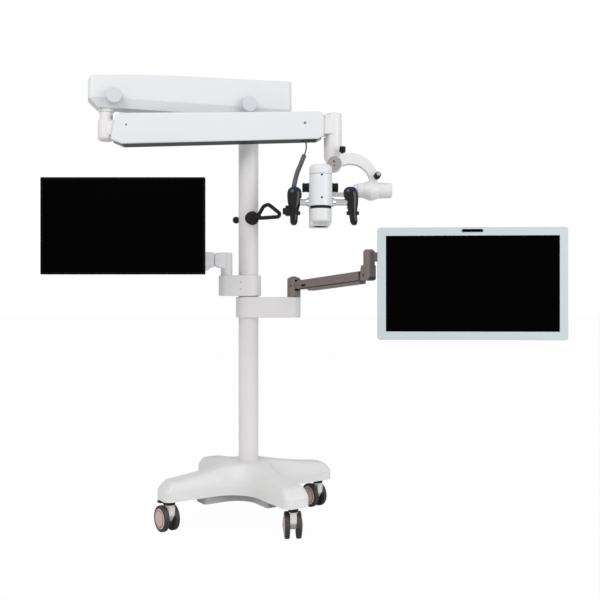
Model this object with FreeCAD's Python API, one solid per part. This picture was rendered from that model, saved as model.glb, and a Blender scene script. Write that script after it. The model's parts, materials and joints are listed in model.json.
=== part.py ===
import FreeCAD, Part
import math
import os

# A floor-standing surgical microscope. Millimetres, +Z up. The origin is the column's axis on the
# floor. The operator's display side faces -Y, and the microscope hangs to the +X side.

V = FreeCAD.Vector
UP = V(0, 0, 1)
ALONG_X = V(1, 0, 0)
ALONG_Y = V(0, 1, 0)

# Running fits and seats
running = 0.05
seat_gap = 0.3

# Wheeled base
lobe_turn = 32.7
lobe_half = 54.0
lobe_reach = 378.0
lobe_corner = 30.0
waist_reach = 128.0
cover_low = 126.0
cover_band_high = 160.0
cover_tip_high = 194.0
cover_mid_high = 219.0
cover_peak = 247.0
crown_round = 18.0
cover_wall = 5.0
frame_low = 130.0
frame_deep = 26.0
frame_half = 34.0
flange_r = 86.0
flange_deep = 10.0
ballast_half = 40.0
ballast_reach = 215.0
ballast_waist = 92.0
ballast_deep = 35.0
inlet_wide = 56.0
inlet_high = 31.0
inlet_deep = 26.0
inlet_clear = 8.0

# Casters
stem_reach = 338.5
stem_r = 6.0
wheel_r = 50.0
wheel_wide = 18.4
fork_half = 12.0
caster_trail = 28.0
axle_r = 5.0
cap_r = 38.5
cap_bulge = 6.0
caster_headings = {"front_left": 127.0, "front_right": 95.0, "rear_right": 127.0, "rear_left": 150.0}
braked_casters = ("front_left", "front_right")

# Column
column_r = 40.0
column_wall = 4.0
column_top = 1590.0
collar_r = 31.0
spindle_r = 22.0
grip_boss_heading = -65.0
grip_loop_heading = -22.0
grip_high = 1209.0
grip_boss_r = 27.0
grip_tube_r = 7.5
grip_reach = 134.0
grip_screw_r = 4.0

# Extension arm
arm_heading = 195.6
elbow_reach = 557.5
arm_half = 50.0
arm_floor_half = 35.0
arm_tail = 171.0
arm_nose = 625.0
arm_low = 1615.0
arm_split = 1652.0
arm_nose_high = 1736.0
arm_mid_high = 1752.0
arm_tail_high = 1764.0
arm_wall = 4.0
hood_edge = 9.0
hood_spare = 4.5
cap_places = (12.0, 531.0)
beam_half = 22.0
beam_high = 70.0
bearing_boss_r = 31.5
elbow_pin_r = 15.0
elbow_ring_r = 28.6
elbow_ring_high = 12.0
pivot_cap_r = 29.5
pivot_cap_proud = 34.0

# Elbow and spring arm
elbow_r = 31.5
elbow_neck_r = 25.0
elbow_neck_low = 1577.0
elbow_low = 1493.0
drop_x = 340.0
drop_y = -70.0
rear_pivot = 86.4
rear_pivot_high = 1546.0
front_pivot_back = 113.4
front_pivot_high = 1570.0
link_spacing = 40.0
cheek_in = 22.0
cheek_out = 32.0
main_pin_r = 6.0
parallel_pin_r = 5.0
anchor_rise = 16.0
anchor_pin_r = 4.0
box_half = 40.0
box_wall = 3.0
box_start = 40.0
box_end_back = 42.6
box_rear_high = 1595.0
box_front_high = 1617.5
box_rear_low = 1476.0
box_front_low = 1509.0
cable_tab_high = 1513.0

# Drop arm, curved arm and tilt housing
drop_r = 32.0
drop_top = 1616.0
drop_seam = 1527.0
drop_spindle_r = 14.0
pivot_high = 1410.0
hub_r = 29.0
curve_deep = 37.7
stub_r = 12.0
cap_disc_r = 27.0
cap_disc_deep = 3.5
tilt_high = 1307.0
tilt_start = 428.0
tilt_end = 563.0
tilt_bulge_r = 39.5
tilt_tube_r = 29.6
tilt_shaft_r = 14.0
knob_r = 12.3
knob_long = 24.0
knob_stand = 6.0
knob_stud_r = 4.0
knob_stud_deep = 12.0

# Microscope head
head_x = 286.0
head_half = 43.0
head_front = -165.0
head_rear = -20.0
head_low = 1170.0
head_high = 1345.0
tube_y = -195.0
tube_r = 43.4
tube_low = 1180.0
tube_high = 1393.0
lower_tube_r = 39.8
ring_low = 1227.0
ring_high = 1238.0
lens_y = -92.0
lens_mouth_r = 25.0
lens_mouth_deep = 6.0
objective_r = 30.0
magnifier_y = -110.0
magnifier_high = 1320.0
magnifier_r = 17.8
magnifier_long = 26.5
magnifier_shaft_r = 6.0
bar_high = 1253.0
bar_y = -190.0
bar_r = 12.4
bar_spigot_r = 8.0
hinge_y = 2.0
hinge_high = 1300.0
hinge_hub_r = 20.0
ear_deep = 9.0
pupil_half = 27.5
eyepiece_r = 19.5
eyepiece_start = 72.3
eyepiece_end = 128.0

# Monitor arms
left_post_x = -87.0
left_post_y = -16.0
left_post_r = 23.5
left_bracket_low = 899.0
left_bracket_high = 981.0
left_seam = 1004.0
left_lift_high = 1040.0
left_arm_rise = 12.0
right_post_x = 183.0
right_post_y = -15.0
right_post_r = 26.8
right_bracket_low = 813.0
right_bracket_high = 895.0
right_pin_rise = 24.0
right_lift_high = 940.0
right_arm_rise = 32.0
right_elbow_x = 457.0
right_elbow_y = -330.0
right_elbow_r = 21.0
right_seam = 1008.0
post_pin_r = 12.0

# Monitors
left_screen_x = -447.0
left_screen_y = -270.0
left_screen_high = 1157.0
left_wide = 608.0
left_tall = 359.0
right_screen_x = 810.0
right_screen_y = -443.0
right_screen_high = 940.0
right_wide = 656.0
right_tall = 392.0
right_turn = -3.0


def block(x0, x1, y0, y1, z0, z1):
    """A box between two corners."""
    return Part.makeBox(x1 - x0, y1 - y0, z1 - z0, V(x0, y0, z0))


def rod(radius, start, end):
    """A round bar from one point to another."""
    way = end - start
    return Part.makeCylinder(radius, way.Length, start, way)


def point_in(plane, a, b, level):
    """The point (a, b) of a drawing plane, at a level along the plane's normal."""
    if plane == "XY":
        return V(a, b, level)
    if plane == "XZ":
        return V(a, level, b)
    return V(level, a, b)


def outline(corners, plane, level):
    """A closed wire through (a, b, radius) corners, each rounded by its own radius."""
    points = [point_in(plane, a, b, level) for a, b, _ in corners]
    edges = []
    starts = []
    ends = []
    arcs = []
    count = len(points)
    for i, corner in enumerate(points):
        radius = corners[i][2]
        back = (points[i - 1] - corner).normalize()
        ahead = (points[(i + 1) % count] - corner).normalize()
        if radius <= 0:
            starts.append(corner)
            ends.append(corner)
            arcs.append(None)
            continue
        half = back.getAngle(ahead) / 2
        cut = radius / math.tan(half)
        middle = (back + ahead).normalize()
        centre = corner + middle * (radius / math.sin(half))
        starts.append(corner + back * cut)
        ends.append(corner + ahead * cut)
        arcs.append(Part.Arc(starts[i], centre - middle * radius, ends[i]).toShape())
    for i in range(count):
        if arcs[i] is not None:
            edges.append(arcs[i])
        follow = (i + 1) % count
        if (starts[follow] - ends[i]).Length > 1e-6:
            edges.append(Part.makeLine(ends[i], starts[follow]))
    return Part.Wire(Part.__sortEdges__(edges))


def slab(corners, plane, low, high):
    """A plate with a rounded outline, between two levels along the drawing plane's normal."""
    normal = {"XY": UP, "XZ": ALONG_Y, "YZ": ALONG_X}[plane]
    return Part.Face(outline(corners, plane, low)).extrude(normal * (high - low))


def lathe(profile, base=V(0, 0, 0), axis=UP):
    """A turned solid. The profile lists (radius, distance along the axis) corners; a corner with
    two more values is the middle point of an arc from the corner before it to the one after it."""
    edges = []
    count = len(profile)
    i = 0
    while i < count:
        here = profile[i]
        ahead = profile[(i + 1) % count]
        start = V(here[0], 0, here[1])
        if len(ahead) == 3:
            last = profile[(i + 2) % count]
            middle = V(ahead[0], 0, ahead[1])
            edges.append(Part.Arc(start, middle, V(last[0], 0, last[1])).toShape())
            i += 2
            continue
        edges.append(Part.makeLine(start, V(ahead[0], 0, ahead[1])))
        i += 1
    solid = Part.Face(Part.Wire(edges)).revolve(V(0, 0, 0), UP, 360)
    solid.Placement = FreeCAD.Placement(base, FreeCAD.Rotation(UP, axis))
    return solid


def fused(shapes):
    """The shapes as one solid, with seams in shared faces merged where that stays valid."""
    whole = shapes[0].multiFuse(shapes[1:])
    merged = whole.removeSplitter()
    return merged if merged.isValid() else whole


def rounded_edges(shape, radius, wanted):
    """The shape with its wanted edges filleted."""
    edges = [edge for edge in shape.Edges if wanted(edge)]
    return shape.makeFillet(radius, edges)


def placed(shape, x, y, turn, z=0.0):
    """The shape turned about the upright axis and then moved."""
    copy = shape.copy()
    copy.Placement = FreeCAD.Placement(V(x, y, z), FreeCAD.Rotation(UP, turn)).multiply(copy.Placement)
    return copy


def solid_of(shape):
    """The one solid inside a boolean result."""
    return shape.Solids[0]


def tangent_plate(x0, y0, r0, x1, y1, r1, low, high):
    """Two upright cylinders and the web that is tangent to both."""
    way = V(x1 - x0, y1 - y0, 0)
    reach = way.Length
    heading = math.atan2(way.y, way.x)
    lean = math.acos((r0 - r1) / reach)
    sides = []
    for x, y, r, sign in ((x0, y0, r0, 1), (x1, y1, r1, 1), (x1, y1, r1, -1), (x0, y0, r0, -1)):
        angle = heading + sign * lean
        sides.append((x + r * math.cos(angle), y + r * math.sin(angle), 0))
    first = rod(r0, V(x0, y0, low), V(x0, y0, high))
    second = rod(r1, V(x1, y1, low), V(x1, y1, high))
    return fused([first, second, slab(sides, "XY", low, high)])


# Wheeled base

def cross_wire(half, reach, corner, waist, level):
    """Outline of four straight lobes with round tips, joined by round hollows at the waist."""
    pit = (waist - half * math.sqrt(2)) / (math.sqrt(2) - 1)
    start = half + pit
    tip = corner * (1 - math.sqrt(0.5))
    inner = start - pit * math.sqrt(0.5)
    edges = []
    for i in range(4):
        turn = FreeCAD.Rotation(UP, lobe_turn + 90 * i)

        def at(x, y):
            return turn.multVec(V(x, y, level))

        edges.append(Part.makeLine(at(start, -half), at(reach - corner, -half)))
        edges.append(Part.Arc(at(reach - corner, -half), at(reach - tip, tip - half),
                              at(reach, corner - half)).toShape())
        edges.append(Part.makeLine(at(reach, corner - half), at(reach, half - corner)))
        edges.append(Part.Arc(at(reach, half - corner), at(reach - tip, half - tip),
                              at(reach - corner, half)).toShape())
        edges.append(Part.makeLine(at(reach - corner, half), at(start, half)))
        edges.append(Part.Arc(at(start, half), at(inner, inner), at(half, start)).toShape())
    return Part.Wire(edges)


def cross(half, reach, corner, waist, low, high):
    """A four-lobed plate between two levels."""
    return Part.Face(cross_wire(half, reach, corner, waist, low)).extrude(UP * (high - low))


def base_cover():
    """Moulded four-lobed cover: an upright band, a crown lofted through shrinking outlines and cut
    by a dome that climbs to the column, and a hollow underneath where the frame sits."""
    dome = lathe([(0, 0), (lobe_reach + 40, 0), (lobe_reach + 40, cover_tip_high - 6),
                  (lobe_reach, cover_tip_high), (0.5 * lobe_reach, cover_mid_high, "arc"),
                  (column_r + 10, cover_peak), (0, cover_peak)])
    outlines = []
    for rise, inset, tip_inset, corner, waist_inset in (
            (0, 0, 0, 30, 0), (24, 5, 16, 30, 6), (48, 16, 48, 26, 18), (80, 34, 108, 14, 36)):
        outlines.append(cross_wire(lobe_half - inset, lobe_reach - tip_inset, corner,
                                   waist_reach - waist_inset, cover_band_high + rise))
    crown = Part.makeLoft(outlines, True, False).common(dome)
    crown = rounded_edges(crown, crown_round, lambda e: e.BoundBox.ZMin > cover_band_high + 12
                          and e.BoundBox.ZMax < cover_peak - 1)
    band = cross(lobe_half, lobe_reach, lobe_corner, waist_reach, cover_low, cover_band_high)
    body = fused([band, crown])
    frame_top = frame_low + frame_deep
    hollow = cross(lobe_half - cover_wall, lobe_reach - cover_wall, lobe_corner - cover_wall,
                   waist_reach - cover_wall, cover_low - 1, frame_top)
    well = rod(flange_r + 2, V(0, 0, cover_low), V(0, 0, frame_top + flange_deep))
    hole = rod(column_r + running, V(0, 0, cover_low), V(0, 0, cover_peak + 10))
    return solid_of(body.cut(hollow).cut(well).cut(hole))


def base_frame():
    """Steel cross inside the cover, with the column's flange and the four caster stems."""
    top = frame_low + frame_deep
    body = cross(frame_half, lobe_reach - 14, 16, 80, frame_low, top)
    parts = [body, rod(flange_r, V(0, 0, top), V(0, 0, top + flange_deep))]
    for i in range(4):
        x, y = stem_place(i)
        parts.append(rod(14, V(x, y, frame_low - 1.7), V(x, y, frame_low)))
        parts.append(rod(stem_r, V(x, y, frame_low - 18), V(x, y, frame_low)))
    return fused(parts)


def stem_place(i):
    """Where the i-th caster's stem stands in plan."""
    angle = math.radians(lobe_turn + 90 * i)
    return stem_reach * math.cos(angle), stem_reach * math.sin(angle)


def ballast_tray():
    """Four-lobed ballast in a sheet tray, bolted up under the frame."""
    low = frame_low - ballast_deep
    tray = cross(ballast_half, ballast_reach, 14, ballast_waist, low, frame_low)
    tray = rounded_edges(tray, 3, lambda e: e.BoundBox.ZMax < low + 0.1)
    lip = 8.0
    return fused([tray, cross(ballast_half + lip, ballast_reach + lip, 20, ballast_waist + lip,
                              frame_low - 4, frame_low)])


def power_inlet():
    """Three-pin appliance inlet in a small box on the rear wall of the base cover."""
    wall = waist_reach - 2
    low = cover_low + 2
    half = inlet_wide / 2
    body = slab([(-half, low, 3), (half, low, 3), (half, low + inlet_high, 3), (-half, low + inlet_high, 3)],
                "XZ", wall, wall + inlet_deep)
    mid = low + inlet_high / 2
    mouth = slab([(-13, mid - 9, 2), (13, mid - 9, 2), (13, mid + 9, 6), (-13, mid + 9, 6)],
                 "XZ", wall + inlet_deep - 16, wall + inlet_deep + 1)
    body = body.cut(mouth)
    for x, z in ((-7, mid - 2), (0, mid + 3), (7, mid - 2)):
        body = body.fuse(block(x - 1, x + 1, wall + 5, wall + inlet_deep - inlet_clear, z - 2, z + 2))
    body = placed(body, 0, 0, lobe_turn + 45 - 90)
    outer = cross(lobe_half, lobe_reach, lobe_corner, waist_reach, cover_low - 10, cover_low + 60)
    return solid_of(body.cut(outer))


def caster_fork():
    """Swivel head with its black dust ring, and the blade that runs down between the wheels."""
    top = frame_low - 2
    ring = lathe([(0, top - 22), (17.5, top - 22), (18.5, top - 20), (18.5, top - 3), (15, top), (0, top)])
    cone = lathe([(0, 80), (12, 80), (12, top - 31), (17.5, top - 23), (17.5, top - 22), (0, top - 22)])
    blade = slab([(-15, 100, 3), (18, 100, 6), (caster_trail + 16, 66, 10), (caster_trail + 14, 40, 12),
                  (caster_trail - 14, 36, 12), (-13, 66, 14)], "XZ", -fork_half, fork_half)
    axle = rod(axle_r, V(caster_trail, -fork_half - wheel_wide + 1, wheel_r),
               V(caster_trail, fork_half + wheel_wide - 1, wheel_r))
    bore = rod(stem_r + running, V(0, 0, top - 19), V(0, 0, top + 1))
    body = fused([ring, cone, blade, axle]).cut(bore)
    slot = block(12, 60, -6, 6, 84, top - 22)
    pin = rod(3 + running, V(21, -fork_half - 9, 92), V(21, fork_half + 9, 92))
    return solid_of(body.cut(slot).cut(pin))


def dome_rise(radius, rise):
    """Height, over its rim, of a shallow spherical dome at half of its radius."""
    ball = (radius ** 2 + rise ** 2) / (2 * rise)
    return math.sqrt(ball ** 2 - (radius / 2) ** 2) - (ball - rise)


def caster_wheel():
    """One wheel of the pair: tyre with round shoulders, a groove, and a domed cap over the axle."""
    inner = fork_half + 0.6
    outer = inner + wheel_wide
    turn = 4.0
    lift = turn * (1 - math.sqrt(0.5))
    profile = [(axle_r + running, inner), (wheel_r - turn, inner), (wheel_r - lift, inner + lift, "arc"),
               (wheel_r, inner + turn), (wheel_r, outer - turn), (wheel_r - lift, outer - lift, "arc"),
               (wheel_r - turn, outer), (cap_r + 2.5, outer), (cap_r + 2.5, outer - 1.5),
               (cap_r, outer - 1.5), (cap_r, outer), (cap_r / 2, outer + dome_rise(cap_r, cap_bulge), "arc"),
               (0, outer + cap_bulge), (0, outer - 1), (axle_r + running, outer - 1)]
    return lathe(profile, V(caster_trail, 0, wheel_r), ALONG_Y)


def caster_wheels():
    """The two wheels that run on one axle."""
    near = caster_wheel()
    return Part.makeCompound([near, near.mirror(V(0, 0, 0), ALONG_Y)])


def brake_pedal():
    """Brake lever: an arm in the fork's slot and a broad pad over the wheels."""
    arm = slab([(14, 86, 5), (28, 86, 4), (60, 104, 3), (60, 110, 2), (50, 110, 6), (24, 99, 6), (14, 99, 5)],
               "XZ", -5.5, 5.5)
    pad = slab([(50, -19, 5), (78, -19, 8), (78, 19, 8), (50, 19, 5)], "XY", 103, 110)
    pad = rounded_edges(pad, 2, lambda e: e.BoundBox.ZMin > 109)
    pin = rod(3, V(21, -fork_half, 92), V(21, fork_half, 92))
    return fused([arm, pad, pin])


# Column

def column():
    """Steel tube with a welded head: a thrust collar and the spindle that the arm turns on."""
    foot = frame_low + frame_deep + flange_deep
    seat = arm_low + arm_wall - seat_gap
    inner = column_r - column_wall
    body = lathe([(inner, foot), (column_r, foot), (column_r, column_top), (collar_r, column_top + 6),
                  (collar_r, seat), (spindle_r, seat), (spindle_r, seat + beam_high),
                  (0, seat + beam_high), (0, column_top), (inner, column_top)])
    return body.cut(rod(grip_screw_r + running, V(-column_r - 2, 0, grip_high - 4),
                        V(-column_r + column_wall + 2, 0, grip_high - 4)))


def column_handle():
    """Rubber grip: a round boss seated on the column, and a neck that runs out sideways into a
    closed three-cornered loop."""
    facing = math.radians(grip_boss_heading)
    axis = V(math.cos(facing), math.sin(facing), 0)
    seat = V(0, 0, grip_high)
    start = math.sqrt(column_r ** 2 - grip_boss_r ** 2) - 1
    boss = lathe([(0, start), (grip_boss_r, start), (grip_boss_r, column_r + 6), (24, column_r + 14),
                  (16, column_r + 19), (0, column_r + 20)], seat, axis)
    root = axis * (column_r + 6)
    corners = [(18, -2, 10), (grip_reach, 1, 10), (68, 52, 16), (47, 44, 16)]
    loop = outline(corners, "XZ", 0)
    edge = loop.Edges[0]
    section = Part.Wire(Part.makeCircle(grip_tube_r, edge.valueAt(edge.FirstParameter),
                                        edge.tangentAt(edge.FirstParameter)))
    tube = loop.makePipeShell([section], True, False, 2)
    neck = rod(9, V(2, 0, 4), V(34, 0, 2))
    tube = placed(fused([neck, tube]), root.x, root.y, grip_loop_heading, grip_high)
    post = rod(column_r, V(0, 0, grip_high - 80), V(0, 0, grip_high + 80))
    return solid_of(fused([boss, tube]).cut(post))


def handle_knob():
    """Ball knob on a screw in the column's side, level with the grip."""
    foot = V(-column_r, 0, grip_high - 4)
    out = V(-1, 0, 0)
    ball = Part.makeSphere(14, foot + out * 10)
    collar = rod(8, foot + out * 0.5, foot + out * 8)
    screw = rod(grip_screw_r, foot - out * (column_wall + 2), foot + out * 4)
    back = block(-column_r - seat_gap, column_r, -20, 20, grip_high - 30, grip_high + 30)
    return solid_of(fused([fused([ball, collar]).cut(back), screw]))


# Extension arm. Drawn with +X from the column to the elbow and +Y towards the front.

def arm_frame(shape):
    """Places a piece of the extension arm on the column."""
    return placed(shape, 0, 0, arm_heading)


def arm_plan(half, grow, low, high):
    """Upright block with the arm's plan: straight sides and round corners."""
    round_off = 22 + grow
    return slab([(-arm_tail - grow, -half, round_off), (arm_nose + grow, -half, round_off),
                 (arm_nose + grow, half, round_off), (-arm_tail - grow, half, round_off)], "XY", low, high)


def arm_top():
    """Stations of the arm's cambered top: distance along the arm and height."""
    return [(-arm_tail, arm_tail_high), (60, arm_mid_high + 6), (arm_nose - 230, arm_mid_high - 4),
            (arm_nose, arm_nose_high - 6)]


def arm_side(inset, lift, nose_round, tail_round):
    """The hood's side view as a block, moved in by inset and its top moved up by lift."""
    low = arm_split - 1
    (tail, tail_top), (back, back_top), (front, front_top), (nose, nose_top) = arm_top()
    return slab([(tail + inset, low, 0), (nose - inset, low, 0), (nose - inset, nose_top + lift, nose_round),
                 (front, front_top + lift, 900), (back, back_top + lift, 900),
                 (tail + inset, tail_top + lift, tail_round)], "XZ", -arm_half - 1, arm_half + 1)


def arm_cover_upper():
    """Long cambered hood of the extension arm, hollow, with soft edges. Its outside is lofted through
    round-topped sections that follow the camber."""
    sections = []
    for x, high in arm_top():
        end = x + math.copysign(1, x) if x in (-arm_tail, arm_nose) else x
        sections.append(outline([(-arm_half, arm_split, 0), (arm_half, arm_split, 0),
                                 (arm_half, high, hood_edge), (-arm_half, high, hood_edge)], "YZ", end))
    outer = Part.makeLoft(sections, True, False).common(arm_side(0, hood_spare, 30, 18))
    outer = outer.common(arm_plan(arm_half, 0, arm_split - 5, arm_tail_high + 9))
    inner = arm_side(arm_wall, -arm_wall, 22, 10)
    inner = inner.common(arm_plan(arm_half - arm_wall, -arm_wall, arm_split - 5, arm_tail_high + 9))
    body = outer.cut(inner)
    for x in cap_places:
        body = body.cut(rod(6.5, V(x, 0, arm_split + 0.5), V(x, arm_half + 1, arm_split + 0.5)))
    return solid_of(body)


def arm_cover_lower():
    """Lower tray of the arm: flat floor, chamfered flanks and a slanted nose."""
    flank = arm_low + 33
    section = [(-arm_floor_half, arm_low, 0), (arm_floor_half, arm_low, 0), (arm_half, flank, 0),
               (arm_half, arm_split, 0), (-arm_half, arm_split, 0), (-arm_half, flank, 0)]
    body = slab(section, "YZ", -arm_tail, arm_nose)
    body = body.common(arm_plan(arm_half, 0, arm_low - 1, arm_split))
    side = [(-arm_tail, arm_split + 1, 0), (-arm_tail + 6, arm_low + 14, 16), (-arm_tail + 18, arm_low, 8),
            (arm_nose - 36, arm_low, 8), (arm_nose, arm_split - 2, 0), (arm_nose, arm_split + 1, 0)]
    body = body.common(slab(side, "XZ", -arm_half - 1, arm_half + 1))
    wall = arm_wall
    low = arm_low + wall
    inner = [(-arm_floor_half + 2, low, 0), (arm_floor_half - 2, low, 0), (arm_half - wall, flank + 2, 0),
             (arm_half - wall, arm_split + 1, 0), (2 - arm_half + 2, arm_split + 1, 0),
             (wall - arm_half, flank + 2, 0)]
    hollow = slab(inner, "YZ", -arm_tail + 22, arm_nose - 37)
    body = body.cut(hollow)
    body = body.cut(rod(collar_r + 3, V(0, 0, arm_low - 1), V(0, 0, low + 1)))
    body = body.cut(rod(elbow_ring_r + running, V(elbow_reach, 0, arm_low - 1), V(elbow_reach, 0, low + 1)))
    for x in cap_places:
        body = body.cut(rod(6.5, V(x, 0, arm_split + 0.5), V(x, arm_half + 1, arm_split + 0.5)))
    return solid_of(body)


def arm_beam():
    """Cast channel inside the covers, with the column bearing and the elbow bearing."""
    low = arm_low + arm_wall
    high = low + beam_high
    body = block(-36, elbow_reach + 26, -beam_half, beam_half, low, high)
    trough = block(40, elbow_reach - 34, -beam_half + 5, beam_half - 5, low + 6, high + 1)
    body = body.cut(trough)
    ribs = [block(x, x + 5, -beam_half + 5, beam_half - 5, low + 6, high - 14) for x in (170, 300, 430)]
    boss = rod(bearing_boss_r, V(0, 0, low), V(0, 0, high))
    end = rod(elbow_ring_r, V(elbow_reach, 0, arm_low - elbow_ring_high), V(elbow_reach, 0, high))
    body = fused([body, boss, end] + ribs)
    body = body.cut(rod(spindle_r + running, V(0, 0, low - 1), V(0, 0, high + 1)))
    body = body.cut(rod(elbow_pin_r + running, V(elbow_reach, 0, arm_low - 20), V(elbow_reach, 0, high + 1)))
    return solid_of(body)


def arm_caps():
    """The two round caps on the arm's front, with the screws that reach the beam."""
    caps = []
    for x in cap_places:
        cap = lathe([(0, 0), (pivot_cap_r - 4, 0), (pivot_cap_r - 4, 3), (pivot_cap_r, 5),
                     (pivot_cap_r, pivot_cap_proud - 2), (pivot_cap_r - 2, pivot_cap_proud),
                     (0, pivot_cap_proud)], V(x, arm_half, arm_split + 0.5), ALONG_Y)
        screw = rod(6, V(x, beam_half - 1, arm_split + 0.5), V(x, arm_half, arm_split + 0.5))
        boss = rod(bearing_boss_r, V(0, 0, arm_low), V(0, 0, arm_tail_high))
        web = block(x - 90, x + 90, -beam_half, beam_half, arm_low, arm_tail_high)
        ring = rod(elbow_ring_r, V(elbow_reach, 0, arm_low), V(elbow_reach, 0, arm_tail_high))
        caps.append(solid_of(fused([cap, screw]).cut(boss).cut(web).cut(ring)))
    return Part.makeCompound(caps)


# Spring arm. Drawn with +X from the elbow to the drop arm.

elbow_turn = math.radians(arm_heading)
elbow_x = elbow_reach * math.cos(elbow_turn)
elbow_y = elbow_reach * math.sin(elbow_turn)
spring_long = math.hypot(drop_x - elbow_x, drop_y - elbow_y)
spring_heading = math.degrees(math.atan2(drop_y - elbow_y, drop_x - elbow_x))
front_pivot = spring_long - front_pivot_back
link_slope = math.atan2(front_pivot_high - rear_pivot_high, front_pivot - rear_pivot)


def spring_frame(shape):
    """Places a piece of the spring arm at the elbow."""
    return placed(shape, elbow_x, elbow_y, spring_heading)


def across(radius, x, z, half):
    """A pin across the spring arm."""
    return rod(radius, V(x, -half, z), V(x, half, z))


def elbow_knuckle():
    """Elbow: a pin up into the extension arm, a waisted neck, the round body and two cheeks."""
    ring_low_face = arm_low - elbow_ring_high
    pin_top = arm_low + arm_wall + beam_high
    body = lathe([(0, elbow_low), (elbow_r - 14, elbow_low), (elbow_r - 4, elbow_low + 4, "arc"),
                  (elbow_r, elbow_low + 14), (elbow_r, elbow_neck_low - 8), (elbow_neck_r, elbow_neck_low),
                  (elbow_neck_r, ring_low_face - seat_gap), (elbow_pin_r, ring_low_face - seat_gap),
                  (elbow_pin_r, pin_top), (0, pin_top)])
    low_pin = rear_pivot_high - link_spacing
    cheek = slab([(4, elbow_low + 22, 0), (rear_pivot + 14, low_pin - 12, 12),
                  (rear_pivot + 14, rear_pivot_high + 28, 12), (rear_pivot - 22, rear_pivot_high + 28, 12),
                  (4, elbow_neck_low - 14, 0)], "XZ", -cheek_out, cheek_out)
    gap = block(elbow_r + 6, rear_pivot + 60, -cheek_in, cheek_in, elbow_low, rear_pivot_high + 40)
    inner = block(elbow_r - 3, rear_pivot + 60, -cheek_in, cheek_in, elbow_low + 10, rear_pivot_high - 24)
    cheeks = cheek.cut(gap).cut(inner)
    pins = [across(parallel_pin_r, rear_pivot, low_pin, cheek_out - 2),
            across(anchor_pin_r, rear_pivot, rear_pivot_high + anchor_rise, cheek_out - 2)]
    body = fused([body, cheeks] + pins)
    body = body.cut(across(main_pin_r + running, rear_pivot, rear_pivot_high, cheek_out + 5))
    return spring_frame(solid_of(body))


def box_top(x):
    """Height of the spring arm cover's top at a distance from the elbow."""
    end = spring_long - box_end_back
    return box_rear_high + (x - box_start - 20) * (box_front_high - box_rear_high) / (end - box_start - 20)


def box_floor(x):
    """Height of the spring arm cover's lower edge at a distance from the elbow."""
    end = spring_long - box_end_back - 23
    return box_rear_low + (x - box_start - 22) * (box_front_low - box_rear_low) / (end - box_start - 22)


def spring_arm_cover():
    """Long box cover of the spring arm, open underneath and at both ends, tapering to the front."""
    end = spring_long - box_end_back
    side = [(box_start, box_rear_high - 7, 6), (box_start + 20, box_rear_high, 12),
            (end, box_front_high, 20), (end, box_floor(end) + 12, 5), (end - 23, box_floor(end - 23), 14),
            (box_start + 22, box_rear_low, 16), (20, box_rear_low + 18, 8)]
    body = slab(side, "XZ", -box_half, box_half)
    body = rounded_edges(body, 6, lambda e: e.Length > 400 and e.BoundBox.ZMin > rear_pivot_high)
    inner = [(-40, box_rear_low - 60, 0), (end + 40, box_rear_low - 60, 0),
             (end + 40, box_top(end + 40) - box_wall, 0), (box_start + 20, box_rear_high - box_wall, 0),
             (-40, box_rear_high - 7 - 28 - box_wall, 0)]
    return spring_frame(solid_of(body.cut(slab(inner, "XZ", box_wall - box_half, box_half - box_wall))))


def spring_arm_underside():
    """Dark closing strip between the cover's lower edges, with a slot for the head's cable."""
    start = box_start + 24
    end = spring_long - box_end_back - 26
    deep = 4.0
    strip = slab([(start, box_floor(start) + 1, 0), (end, box_floor(end) + 1, 0),
                  (end, box_floor(end) + 1 + deep, 0), (start, box_floor(start) + 1 + deep, 0)],
                 "XZ", box_wall - box_half, box_half - box_wall)
    notch = slab([(front_pivot - 20, -9, 8.9), (end + 10, -9, 0), (end + 10, 9, 0),
                  (front_pivot - 20, 9, 8.9)], "XY", box_rear_low - 20, box_front_low + 20)
    return spring_frame(solid_of(strip.cut(notch)))


def in_link(shape):
    """Tilts a piece drawn level along the main link to the link's slope."""
    copy = shape.copy()
    copy.rotate(V(rear_pivot, 0, rear_pivot_high), ALONG_Y, -math.degrees(link_slope))
    return copy


link_long = math.hypot(front_pivot - rear_pivot, front_pivot_high - rear_pivot_high)


def main_link():
    """Upper link of the parallelogram: an open channel with a bulkhead and a pin at each end."""
    z = rear_pivot_high
    far = rear_pivot + link_long
    body = slab([(rear_pivot - 15, z - 15, 14), (far + 15, z - 15, 14), (far + 15, z + 8, 8),
                 (rear_pivot - 15, z + 8, 8)], "XZ", seat_gap - cheek_in, cheek_in - seat_gap)
    rails = slab([(rear_pivot + 40, z, 0), (far - 40, z, 0), (far - 60, z + 18, 6), (rear_pivot + 60, z + 18, 6)],
                 "XZ", seat_gap - cheek_in, cheek_in - seat_gap)
    body = fused([body, rails])
    trough = block(rear_pivot + 24, far - 24, -17, 17, z - 11, z + 30)
    bulkhead = block(rear_pivot + 344, rear_pivot + 350, -17, 17, z - 11, z + 18)
    notch = block(rear_pivot - 30, rear_pivot + 40, -4.6, 4.6, z + 6.4, z + 30)
    body = fused([body.cut(trough).cut(notch), bulkhead])
    pins = [across(main_pin_r, rear_pivot, z, box_half - box_wall),
            across(main_pin_r, far, z, box_half - box_wall)]
    return spring_frame(in_link(solid_of(fused([body] + pins))))


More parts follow.
